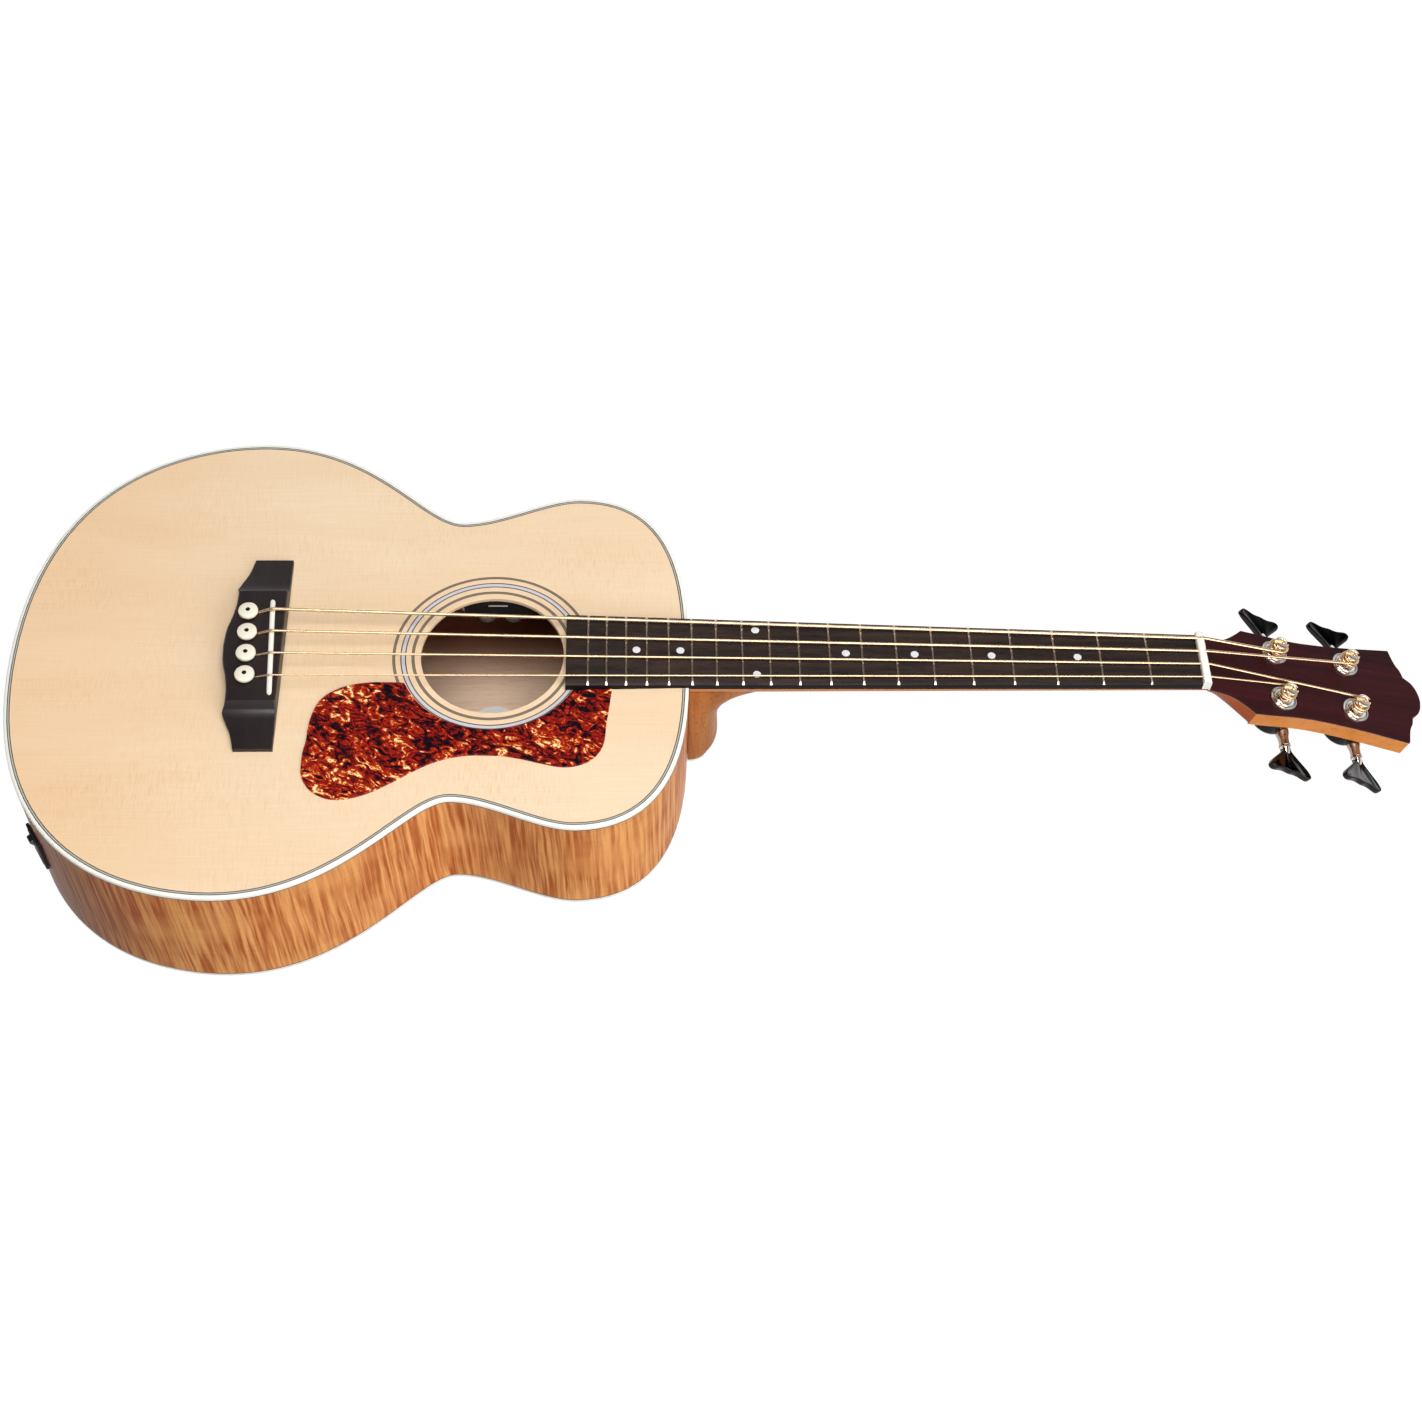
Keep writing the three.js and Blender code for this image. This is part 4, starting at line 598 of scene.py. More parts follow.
def throughPoints(points, corners=(), perSpan=6):
    spots = [Vector(p) for p in points]
    last = len(spots) - 1
    made = []
    for i in range(last):
        p1, p2 = spots[i], spots[i + 1]
        m1 = p2 - p1 if i in corners else (p2 - spots[max(i - 1, 0)]) / 2
        m2 = p2 - p1 if i + 1 in corners else (spots[min(i + 2, last)] - p1) / 2
        for k in range(perSpan):
            t = k / perSpan
            made.append(tuple(p1 * (2 * t ** 3 - 3 * t ** 2 + 1) + m1 * (t ** 3 - 2 * t ** 2 + t)
                              + p2 * (3 * t ** 2 - 2 * t ** 3) + m2 * (t ** 3 - t ** 2)))
    made.append(tuple(points[-1]))
    return made


def sweep(route, radii, sides):
    rings, distances = [], []
    across = Vector((0, 1, 0))
    distance = 0.0
    for i, p in enumerate(route):
        before = route[max(i - 1, 0)]
        after = route[min(i + 1, len(route) - 1)]
        along = (Vector(after) - Vector(before)).normalized()
        across = (across - along * across.dot(along)).normalized()
        up = along.cross(across)
        rings.append([tuple(Vector(p) + across * radii[i] * c + up * radii[i] * n) for c, n in circle(sides)])
        distance += (Vector(p) - Vector(before)).length if i else 0.0
        distances += [(distance * 0.001, 0.0)] * sides
    return loft(rings), distances


# Outline of the body
def bezier(corners, share):
    a, b, c, d = [Vector(p) for p in corners]
    rest = 1 - share
    at = a * rest ** 3 + b * 3 * rest ** 2 * share + c * 3 * rest * share ** 2 + d * share ** 3
    along = ((b - a) * rest ** 2 + (c - b) * 2 * rest * share + (d - c) * share ** 2).normalized()
    return at, along


def outlineCurves(s):
    lower = (tailX + s["lowerFromTail"], s["lowerWidth"] / 2)
    waist = (tailX + s["waistFromTail"], s["waistWidth"] / 2)
    upper = (tailX + s["upperFromTail"], s["upperWidth"] / 2)
    down = waist[0] - lower[0]
    out = upper[0] - waist[0]
    return [
        [(tailX, 0), (tailX, s["tailRound"] * lower[1]), (lower[0] - s["lowerRound"] * s["lowerFromTail"], lower[1]),
         lower],
        [lower, (lower[0] + s["intoWaist"][0] * down, lower[1]), (waist[0] - s["intoWaist"][1] * down, waist[1]),
         waist],
        [waist, (waist[0] + s["outOfWaist"][0] * out, waist[1]), (upper[0] - s["outOfWaist"][1] * out, upper[1]),
         upper],
        [upper, (upper[0] + s["shoulder"][0] * (neckEndX - upper[0]), upper[1]),
         (neckEndX, s["shoulder"][1] * upper[1]), (neckEndX, 0)],
    ]


rimCurves = outlineCurves(bodySizes)
bassRim = []
for curve, steps in zip(rimCurves, bodySizes["stepsPerCurve"]):
    for k in range(steps):
        at, along = bezier(curve, k / steps)
        bassRim.append((at.x, at.y, -along.y, along.x))
bassRim.append((neckEndX, 0.0, 1.0, 0.0))
trebleRim = [(x, -y, outX, -outY) for x, y, outX, outY in bassRim]
wholeRim = bassRim + trebleRim[1:-1][::-1]


def inset(station, amount):
    return station[0] - amount * station[2], station[1] - amount * station[3]


def rimStrip(section, rim=wholeRim, closed=True, side=0):
    rings, uvs = [], []
    distance = 0.0
    for i, station in enumerate(rim):
        ring = []
        if i:
            distance += math.hypot(station[0] - rim[i - 1][0], station[1] - rim[i - 1][1])
        for amount, height in section:
            x, y = inset(station, amount)
            z = height(x) if callable(height) else height
            y = side * max(side * y, 0.15) if side else y
            ring.append((x, y, z))
            uvs.append((distance * 0.001, z * 0.001))
        rings.append(ring)
    return loft(rings, closed), uvs


print("stage: outline ready")


# Floor, backdrop light and lamps
stageSizes = {
    "floorHalf": 30.0, "floorColor": 0.17, "floorGlow": 0.6, "glowStrength": 1.62, "worldStrength": 0.13,
    "worldLeft": 0.1, "worldRight": 1.6, "skyFrom": 0.3, "skyTo": 0.6, "skyTop": 0.15, "paperScale": 3.0,
    "paperMottle": 0.01, "paperRoughness": 0.9, "paperShine": 0.1,
    "key": (40.8, 1.5, (0.3, -0.55, 2.2), (0.2, 0, 0)),
    "front": (30.0, 1.6, (1.2, -1.6, 0.9), (0.1, -0.15, 0.05)),
    "strip": (1.0, 0.9, (-0.3, 1.7, 1.3), (0.1, 0, 0)),
}


def whiteForCamera(tree):
    path = addNode(tree, "LightPath")
    seen = calc(tree, "MAXIMUM", path["Is Camera Ray"], path["Is Glossy Ray"])
    return calc(tree, "MAXIMUM", seen, path["Is Transmission Ray"])


def makeStage(sizes):
    half = sizes["floorHalf"]
    mesh = bpy.data.meshes.new("studioFloor")
    mesh.from_pydata([(-half, -half, 0), (half, -half, 0), (half, half, 0), (-half, half, 0)], [], [(0, 1, 2, 3)])
    floor = addObject("studioFloor", mesh)
    material = bpy.data.materials.new("palePaper")
    material.use_nodes = True
    tree = material.node_tree
    shader = tree.nodes["Principled BSDF"]
    grain = noiseOf(tree, objectVector(tree), sizes["paperScale"], 3.0)
    tone = fit(tree, grain, sizes["paperMottle"], sizes["floorColor"])
    feed(tree, shader.inputs["Base Color"], grayOf(tree, tone))
    shader.inputs["Roughness"].default_value = sizes["paperRoughness"]
    shader.inputs["Specular IOR Level"].default_value = sizes["paperShine"]
    glow = addNode(tree, "Emission", Color=(1, 1, 1, 1), Strength=sizes["glowStrength"])[0]
    share = times(tree, whiteForCamera(tree), sizes["floorGlow"])
    mixed = addNode(tree, "MixShader", n0=share, n1=shader.outputs[0], n2=glow)[0]
    feed(tree, tree.nodes["Material Output"].inputs["Surface"], mixed)
    mesh.materials.append(material)
    world = bpy.data.worlds.new("paleRoom")
    world.use_nodes = True
    tree = world.node_tree
    light = tree.nodes["Background"]
    light.inputs["Color"].default_value = (1, 1, 1, 1)
    direction = addNode(tree, "TexCoord")["Generated"]
    lean = addNode(tree, "MapRange", n0=partOf(tree, direction, "X"), n1=-1.0, n2=1.0, n3=sizes["worldLeft"],
                   n4=sizes["worldRight"])[0]
    feed(tree, light.inputs["Strength"], times(tree, lean, sizes["worldStrength"]))
    fade = addNode(tree, "MapRange", n0=partOf(tree, direction, "Z"), n1=sizes["skyFrom"], n2=sizes["skyTo"], n3=1.0,
                   n4=sizes["skyTop"])[0]
    white = addNode(tree, "Background", Color=(1, 1, 1, 1), Strength=fade)[0]
    mixed = addNode(tree, "MixShader", n0=whiteForCamera(tree), n1=light.outputs[0], n2=white)[0]
    feed(tree, tree.nodes["World Output"].inputs["Surface"], mixed)
    bpy.context.scene.world = world
    for name in ("key", "front", "strip"):
        power, side, place, aim = sizes[name]
        data = bpy.data.lights.new(name + "Lamp", "AREA")
        data.energy = power
        data.shape = "SQUARE"
        data.size = side
        lamp = addObject(name + "Lamp", data)
        lamp.location = place
        lamp.rotation_euler = (Vector(place) - Vector(aim)).to_track_quat("Z", "Y").to_euler()


makeStage(stageSizes)
print("stage: floor and lamps set")


# Soundboard, rosette and edges
boardSizes = {"holeX": 139.0, "holeRadius": 46.3, "thickness": 2.8, "edgeInset": 4.2, "channel": 1.2,
              "rings": ((50.3, 52.3), (55.8, 59.5), (62.8, 64.7)), "ringSteps": 160}


def makeSoundboard(s):
    hole = s["holeX"]
    profile = [(s["holeRadius"], -s["thickness"]), (s["holeRadius"], -0.3), (s["holeRadius"] + 0.3, 0)]
    for inner, outer in s["rings"]:
        profile += [(inner, 0), (inner, -s["channel"]), (outer, -s["channel"]), (outer, 0)]
    rings = []
    for station in wholeRim:
        x, y = inset(station, s["edgeInset"])
        turn = math.atan2(y, x - hole)
        section = [(hole + r * math.cos(turn), r * math.sin(turn), z) for r, z in profile]
        rings.append(section + [(x, y, 0), (x, y, -s["thickness"])])
    makePiece("soundboardTop", loft(rings, True), "spruce", replaces="soundboard", slot="spruce_top")


def makeRing(label, edges, tones, s):
    section = [(r, 0) for r in edges] + [(edges[-1], -s["channel"]), (edges[0], -s["channel"])]
    shape = roundSection(section, s["ringSteps"], s["holeX"])
    names = sorted(set(tones))
    pattern = [names.index(tone) for tone in tones] + [names.index(tones[-1]), 0, names.index(tones[0])]
    makePiece("rosette" + label, shape, names, replaces="rosette_" + label.lower() + "_ring", slot="gray_inlay",
              bands=banded(shape, pattern))


makeSoundboard(boardSizes)
ringLooks = {
    "Inner": ((50.3, 50.75, 51.85, 52.3), ("softLine", "brownGray", "softLine")),
    "Middle": ((55.8, 56.55, 58.75, 59.5), ("line", "lavender", "line")),
    "Outer": ((62.8, 63.25, 64.25, 64.7), ("softLine", "brownGray", "softLine")),
}
for label, (edges, tones) in ringLooks.items():
    makeRing(label, edges, tones, boardSizes)

edgeSizes = {"binding": 2.2, "bindingHeight": 2.8, "round": 1.2, "purfling": (2.2, 2.8, 3.6, 4.2), "lineHeight": 0.7,
             "backBinding": 1.8, "backBindingHeight": 2.8, "sideThickness": 2.3}


def makeEdges(s):
    width, height, soft = s["binding"], s["bindingHeight"], s["round"]
    ledge = height + s["lineHeight"]
    corner = ((0, soft), (0.1 * soft, 0.55 * soft), (0.35 * soft, 0.25 * soft), (soft, 0))

    def edge(name, section, look, pattern=(), **settings):
        shape, uvs = rimStrip(section)
        makePiece(name, shape, look, bands=banded(shape, pattern) if pattern else None, uvs=uvs, **settings)

    def above(rise):
        return lambda x: rise - rimDepth(x)

    edge("topBinding", [(0, -height)] + [(across, -drop) for across, drop in corner] + [(width, 0), (width, -height)],
         "ivory", replaces="top_binding", slot="ivory_trim", sharp=50)
    a, b, c, d = s["purfling"]
    edge("topPurfling", [(a, 0), (b, 0), (c, 0), (d, 0), (d, -height), (a, -height)], ["line", "gray"],
         (0, 1, 0, 0, 0, 0), replaces="top_purfling", slot="gray_inlay")
    edge("sideLine", [(0, -ledge), (0, -height), (width, -height), (width, -ledge)], "edgeLine", slot="gray_inlay")
    top = -ledge
    width, height = s["backBinding"], s["backBindingHeight"]
    ledge = height + s["lineHeight"]
    edge("backSideLine", [(0, above(height)), (0, above(ledge)), (width, above(ledge)), (width, above(height))],
         "edgeLine", slot="gray_inlay")
    edge("backBinding", [(0, above(height)), (width, above(height)), (width, above(0))]
         + [(across, above(rise)) for across, rise in reversed(corner)], "ivory", replaces="back_binding",
         slot="ivory_trim", sharp=50)
    wall = s["sideThickness"]
    section = [(0, top), (0, lambda x: (top + above(ledge)(x)) / 2), (0, above(ledge)), (wall, above(ledge)),
               (wall, top)]
    # The inner face of each side takes the brace wood, set darker as painted shade inside the body
    for label, rim, side in (("Bass", bassRim, 1), ("Treble", trebleRim, -1)):
        shape, uvs = rimStrip(section, rim, False, side)
        makePiece("side" + label, shape, ["side", "brace"], replaces="side_" + label.lower(), slot="flamed_maple",
                  bands=banded(shape, (0, 0, 0, 1, 0), (0, 0)), uvs=uvs)


makeEdges(edgeSizes)
print("stage: soundboard and sides made")

backSizes = {"thickness": 2.8, "inset": 1.8, "power": 8.2,
             "shares": (1, 0.985, 0.97, 0.95, 0.93, 0.9, 0.87, 0.83, 0.78, 0.72, 0.64, 0.5, 0.3, 0.08)}


def makeBack(s):
    def ring(share, lift):
        made = []
        for station in wholeRim:
            rimX, rimY = inset(station, s["inset"])
            x = archCentreX + share * (rimX - archCentreX)
            bulge = (1 - share ** s["power"]) * bodySizes["arch"]
            made.append((x, share * rimY, lift - rimDepth(x) - bulge))
        return made

    outside = [ring(share, 0) for share in reversed(s["shares"])]
    inside = [ring(share, s["thickness"]) for share in s["shares"]]
    shape = loft(outside + inside)
    outer = len(outside) * len(wholeRim)
    bands = [0 if i < outer else 1 for i in range(len(shape[1]) - 2)] + [0, 1]
    makePiece("archedBack", shape, ["back", "inner"], replaces="back", slot="flamed_maple", bands=bands, sharp=30)


makeBack(backSizes)

labelSizes = {"x": 134.5, "y": -10.5, "halfX": 25.0, "halfY": 39.0, "low": 0.02, "rise": 0.15,
              "steps": 64}


def makeLabel(s):
    rings = []
    for lift in (s["low"], s["rise"]):
        ring = []
        for c, n in circle(s["steps"]):
            x = s["x"] + s["halfX"] * c
            ring.append((x, s["y"] + s["halfY"] * n, backSizes["thickness"] + lift - rimDepth(x) - bodySizes["arch"]))
        rings.append(ring)
    makePiece("labelOval", loft(rings), "label", slot="ivory_trim")


makeLabel(labelSizes)
print("stage: back made")


# Parts inside the body and other pieces whose own shape is kept
keptFinishes = {
    "brace": ("lining_top_bass", "lining_top_treble", "lining_back_bass", "lining_back_treble", "x_brace",
              "upper_brace", "tone_bar_1", "tone_bar_2"),
    "inner": ("bridge_plate",),
    "block": ("neck_block", "tail_block"),
    "steel": ("truss_rod",),
    "black": ("preamp_body",),
    "wheel": ("volume_wheel", "tone_wheel"),
}
for look, nodes in keptFinishes.items():
    for node in nodes:
        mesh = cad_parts[node].data
        mesh.materials.clear()
        mesh.materials.append(looks[look])

# A pale dash on the preamplifier's face, a painted highlight, and a bright clip at its tail end
preampSizes = {"highlightStripe": (134.4, 147.2, 45.15, 45.4, -7.3, -6.1), "clip": (116.7, 118.2, 46.0, 50.0, -12.5, -5.5)}


def makePreampTrim(s):
    makePiece("preampPaintedHighlight", block(*s["highlightStripe"]), "gray", slot="gray_inlay", bevel=0.1)
    makePiece("preampClip", block(*s["clip"]), "chrome", slot="bright_chrome", bevel=0.2)


makePreampTrim(preampSizes)

# Neck: a shaft with a rounded back, a heel down the body's end and a tilted headstock
shaftSizes = {"depthAtBody": 18.0, "depthAtNut": 15.0, "squareAtBody": 1.8, "squareAtNut": 1.5, "headDepth": 11.88,
              "rootSquareness": 12.0, "steps": 36, "stations": 30}
headSizes = {
    "length": 159.8, "halfWidth": 38.3, "back": -13.5, "face": -1.6, "underLine": 0.35, "perSpan": 4,
    "corners": (4, 12),
    "shares": ((0, 0.538), (0.081, 0.587), (0.122, 0.658), (0.161, 0.77), (0.195, 0.888), (0.275, 0.867),
               (0.363, 0.836), (0.438, 0.825), (0.488, 0.828), (0.588, 0.851), (0.707, 0.898), (0.825, 0.961),
               (0.9, 1), (0.911, 0.809), (0.92, 0.692), (0.934, 0.587), (0.941, 0.491), (0.945, 0.431),
               (0.973, 0.339), (0.991, 0.214), (1, 0.06)),
}


def halfWidthAt(x):
    s = neckSizes
    return s["nutWidth"] / 2 + (s["twelfthWidth"] - s["nutWidth"]) / s["scale"] * (s["scale"] - x)


def headHalf(s):
    half = [(a * s["length"], b * s["halfWidth"], 0) for a, b in s["shares"]]
    return [(x, y) for x, y, _ in throughPoints(half, s["corners"], s["perSpan"])]


def roundBelow(width, depth, squareness, steps):
    made = []
    for i in range(steps + 1):
        turn = math.pi * i / steps
        across = math.copysign(abs(math.cos(turn)) ** (2 / squareness), math.cos(turn))
        made.append((across * width / 2, -depth * max(math.sin(turn), 0) ** (2 / squareness)))
    return made


# The shaft's rings stand square to the neck; the root's rings lean over into the headstock's own frame
def makeNeck(s):
    n = neckSizes
    top = -n["boardThickness"] - 0.05
    bodyFace = neckEndX + 0.1
    rings = []
    stop = n["scale"] + n["nutThickness"] - 1.1
    for i in range(s["stations"] + 1):
        share = i / s["stations"]
        x = neckEndX + share * (stop - neckEndX)
        depth = s["depthAtBody"] + share * (s["depthAtNut"] - s["depthAtBody"])
        squareness = s["squareAtBody"] + share * (s["squareAtNut"] - s["squareAtBody"])
        width = 2 * halfWidthAt(min(x, n["scale"]))
        ring = []
        for y, z in roundBelow(width, depth, squareness, s["steps"]):
            below = top + z
            along = (bodyFace - below * math.sin(neckPitch)) / math.cos(neckPitch) if i == 0 else x
            ring.append(tuple(neckInGuitar @ Vector((along, y, below))))
        rings.append(ring)
    half = headHalf(headSizes)
    root = half[:headSizes["corners"][0] * headSizes["perSpan"] + 1]
    tilt = math.tan(math.radians(n["headTilt"]))
    faceTop = headSizes["face"] - 0.02
    startDepth = s["depthAtNut"] - top - n["faceDrop"] + faceTop
    for s0, reach in root:
        t = s0 / root[-1][0]
        depth = startDepth + (s["headDepth"] - startDepth) * t
        squareness = s["squareAtNut"] + (s["rootSquareness"] - s["squareAtNut"]) * t ** 2.2
        ring = []
        for y, z in roundBelow(2 * reach, depth, squareness, s["steps"]):
            lean = (1 - t) ** 2 * -(faceTop + z) * tilt
            ring.append(tuple(headInGuitar @ Vector((s0 + lean, y, faceTop + z))))
        rings.append(ring)
    # The shaft takes the throat wood, whose painted shade darkens it past the nut
    makePiece("neckShaft", loft(rings), "throat", replaces="neck", slot="neck_wood", sharp=40)


makeNeck(shaftSizes)

heelSizes = {
    "levels": ((0.1, 5.6, 0.9), (0.14, 4.18, 0.91), (0.19, 3.09, 0.93), (0.24, 2.39, 0.95), (0.3, 1.91, 0.96),
               (0.36, 1.57, 0.98), (0.5, 1.24, 0.98), (0.66, 1.18, 0.97), (0.8, 1.18, 0.96), (0.91, 1.2, 0.95),
               (1.0, 0.97, 0.92)),
    "length": 17.0, "roundness": 0.8, "bottom": -85.4, "steps": 32, "cap": (-87.4, -85.4),
}


def heelRing(s, z, lengthShare, widthShare):
    ring = []
    for i in range(s["steps"] + 1):
        turn = math.pi * i / s["steps"]
        off = max(math.sin(turn), 0) ** s["roundness"]
        across = math.copysign(abs(math.cos(turn)) ** s["roundness"], math.cos(turn))
        ring.append((neckEndX + 0.1 + lengthShare * s["length"] * off, widthShare * halfWidthAt(neckEndX) * across, z))
    return ring


def makeHeel(s):
    levels = throughPoints(s["levels"], (), 5)
    rings = [heelRing(s, depth * s["bottom"], length, width) for depth, length, width in levels]
    makePiece("neckHeel", loft(rings), "heel", replaces="neck", slot="neck_wood", sharp=40)
    low, high = s["cap"]
    _, length, width = s["levels"][-1]
    makePiece("heelCap", loft([heelRing(s, low, length, width), heelRing(s, high, length, width)]), "ivory",
              replaces="heel_cap", slot="ivory_trim", bevel=0.4)


makeHeel(heelSizes)


def makeHead(s):
    right = headHalf(s)
    reach = s["corners"][0] * s["perSpan"]

    def outlineFrom(half):
        return half + [(x, -y) for x, y in reversed(half)]

    full = outlineFrom([(-0.5, right[0][1])] + right[1:])
    line = s["face"] + s["underLine"]
    for name, outline, low, high, look, node, slot, bevel, segments in (
            ("headstockCore", outlineFrom(right[reach:]), s["back"], s["face"], "neck", "neck", "neck_wood", 0.5, 3),
            ("headstockVeneer", full, line, 0, "veneer", "headstock_overlay", "head_veneer", 0.3, 2),
            ("veneerUnderLine", full, s["face"], line, "underLine", "headstock_overlay", "ivory_trim", 0, 2)):
        makePiece(name, plate(outline, low, high), look, place=headFrame, replaces=node, slot=slot, bevel=bevel,
                  segments=segments)


makeHead(headSizes)
print("stage: neck made")

# Fretboard with its frets and dots, in the neck's frame
fretboardSizes = {
    "arc": 0.9, "frets": 19, "pastLastFret": 14.3, "fretWidth": 1.5, "fretFoot": 1.6, "fretHeight": 0.9,
    "fretInset": 0.1, "fretBevel": 2.5, "fretEnds": (0.0, 0.12, 0.5, 1.0, 1.5, 2.0, 2.5), "dotRadius": 2.6,
    "dotRound": 0.1, "dotRise": 0.06, "dotDepth": 0.6, "edge": 0.5, "endRound": 0.4, "step": 0.01, "overhang": 0.3,
    "crown": ((1, 0.1), (0.82, 0.55), (0.45, 0.92), (0, 1), (-0.45, 0.92), (-0.82, 0.55), (-1, 0.1)),
    "dots": ((3, 0), (5, 0), (7, 0), (9, 0), (12, 17.9), (12, -17.9), (15, 0), (17, 0)),
}


def fretAt(number):
    return neckSizes["scale"] / 2 ** (number / 12)


def crownAt(y):
    return -fretboardSizes["arc"] * (y / (neckSizes["twelfthWidth"] / 2)) ** 2


def makeFretboard(s):
    start = fretAt(s["frets"]) - s["pastLastFret"]
    stop = neckSizes["scale"] - 0.02
    rings = []
    bodyEnd = neckEndX + s["overhang"]
    free = bodyEnd + s["step"]
    stations = [start, start + s["endRound"]] + [start + (neckEndX - start) * k / 6 for k in range(1, 6)] + [bodyEnd]
    stations += [free + (stop - free) * k / 14 for k in range(15)]
    guitarInNeck = neckInGuitar.inverted()
    edge = s["edge"]
    for x in stations:
        half = halfWidthAt(x)
        across = [-half, -half + 0.3 * edge, -half + edge] + [half * k / 6 for k in range(-5, 6)]
        across += [half - edge, half - 0.3 * edge, half]
        drop = [edge, 0.3 * edge] + [0] * (len(across) - 4) + [0.3 * edge, edge]
        ring = [(x, y, crownAt(y) - d) for y, d in zip(across, drop)]
        onTop = guitarInNeck @ Vector((x, 0, 0.02))
        under = onTop.z if x < free else -neckSizes["boardThickness"] - 0.02
        ring += [(x, half, under), (x, -half, under)]
        rings.append(ring)
    shape = loft(rings)
    count = len(rings[0])
    # The sides and edge rounds take the darker copy of the board wood, as painted shade
    pattern = [1 if j in (0, count - 4, count - 3, count - 1) else 0 for j in range(count)]
    makePiece("fretboardBlank", shape, ["board", "boardSideShade"], place=neckFrame, replaces="fretboard",
              slot="dark_fretwood", bands=banded(shape, pattern, (1, 1)))
    shapes = []
    for number in range(1, s["frets"] + 1):
        x = fretAt(number)
        half = halfWidthAt(x) - s["fretInset"]
        sections = []
        ends = s["fretEnds"]
        across = [-half + d for d in ends] + [half * k / 4 for k in range(-3, 4)] + [half - d for d in reversed(ends)]
        for y in across:
            base = crownAt(y)
            cut = min((half - abs(y)) / s["fretBevel"], 1)
            wide = (s["fretWidth"] + (1 - cut) * (s["fretFoot"] - s["fretWidth"])) / 2
            section = [(x - wide, y, base - 0.4), (x + wide, y, base - 0.4)]
            section += [(x + wide * a, y, base + 0.03 + s["fretHeight"] * min(b, cut)) for a, b in s["crown"]]
            sections.append(section)
        shapes.append(loft(sections))
    makePiece("fretWires", mergeShapes(*shapes), "fret", place=neckFrame, replaces="fretboard",
              slot="dark_fretwood", sharp=18)
    dots = []
    for number, y in s["dots"]:
        x = (fretAt(number) + fretAt(number - 1)) / 2
        rings = []
        for radius, height in ((s["dotRadius"], -s["dotDepth"]), (s["dotRadius"], s["dotRise"] / 2),
                               (s["dotRadius"] - s["dotRound"], s["dotRise"])):
            rings.append([(x + radius * c, y + radius * n, crownAt(y + radius * n) + height) for c, n in circle(36)])
        dots.append(loft(rings))
    makePiece("fretDots", mergeShapes(*dots), "pearl", place=neckFrame, replaces="fretboard",
              slot="dark_fretwood")


makeFretboard(fretboardSizes)

nutSizes = {"top": 3.3, "round": 1.6, "foot": 1.0, "footDepth": 1.1,
            "ends": ((0, 0.5), (0.4, 0.1), (1.0, 0)), "frontRound": (1, 0.5), "backRound": (1.6, 1.3)}


def makeNut(s):
    x = neckSizes["scale"]
    back = x + neckSizes["nutThickness"]
    low = -neckSizes["boardThickness"]
    half = neckSizes["nutWidth"] / 2
    frontX, frontZ = [s["round"] * share for share in s["frontRound"]]
    backX, backZ = [s["round"] * share for share in s["backRound"]]
    section = [(x, low)] + arc(x + frontX, s["top"] - frontZ, -frontX, frontZ, 0, 90, 3)
    section += arc(back - backX, s["top"] - backZ, backX, backZ, 90, 0, 3)
    section += [(back, low - s["footDepth"]), (back - s["foot"], low - s["footDepth"]), (back - s["foot"], low)]
    spots = [(inward - half, drop) for inward, drop in s["ends"]]
    spots += [(0, 0)] + [(-y, drop) for y, drop in reversed(spots)]
    rings = [[(px, y, pz - drop if pz > 0 else pz) for px, pz in section] for y, drop in spots]
    makePiece("nutBlock", loft(rings), "ivory", place=neckFrame, replaces="nut", slot="ivory_trim", sharp=40)


makeNut(nutSizes)
print("stage: fretboard and nut made")

# Bridge: a thick middle that scoops down to two thin wings, with its saddle and pins
bridgeSizes = {
    "length": 152.4, "depth": 37.5, "front": 4.2, "height": 11.0, "tip": 3.3, "bevel": 1.6, "perSpan": 5,
    "shares": ((0, 1, 1), (0.17, 0.976, 1), (0.315, 0.904, 1), (0.46, 0.859, 1), (0.578, 0.853, 1),
               (0.6, 0.866, 0.68), (0.625, 0.887, 0.42), (0.64, 0.895, 0.335), (0.655, 0.901, 0.275),
               (0.675, 0.888, 0.228), (0.7, 0.866, 0.19), (0.74, 0.832, 0.155), (0.85, 0.736, 0.08),
               (1, 0.664, 0)),
}


def makeBridge(s):
    half = throughPoints(s["shares"], (4, 8), s["perSpan"])
    stations = [(-1, *p) for p in reversed(half)] + [(1, *p) for p in half[1:]]
    rings = []
    for side, along, depth, height in stations:
        y = side * along * s["length"] / 2
        rear = s["front"] - depth * s["depth"]
        height = min(max(height, 0), 1)
        top = s["tip"] + height * (s["height"] - s["tip"])
        bevel = s["bevel"] * max(height, 0.35)
        section = [(s["front"], 0.02)] + arc(s["front"] - bevel, top - bevel, bevel, bevel, 0, 90, 4)
        section += arc(rear + bevel, top - bevel, bevel, bevel, 90, 180, 4) + [(rear, 0.02)]
        rings.append([(x, y, z) for x, z in section])
    makePiece("bridgeBlock", loft(rings), "bridge", replaces="bridge", slot="dark_fretwood", sharp=28)


makeBridge(bridgeSizes)

saddleSizes = {"bass": 36.4, "treble": 40.0, "setback": 4.6, "thickness": 3.3, "low": 6.0, "crest": 13.0,
               "bow": 0.5, "round": 1.1, "endDrop": 1.2, "ends": ((0, 0.35), (0.01, 0.75), (0.02, 0.95), (0.035, 1))}


def saddleLine(y):
    s = saddleSizes
    return -(y + s["treble"]) / (s["bass"] + s["treble"]) * s["setback"]


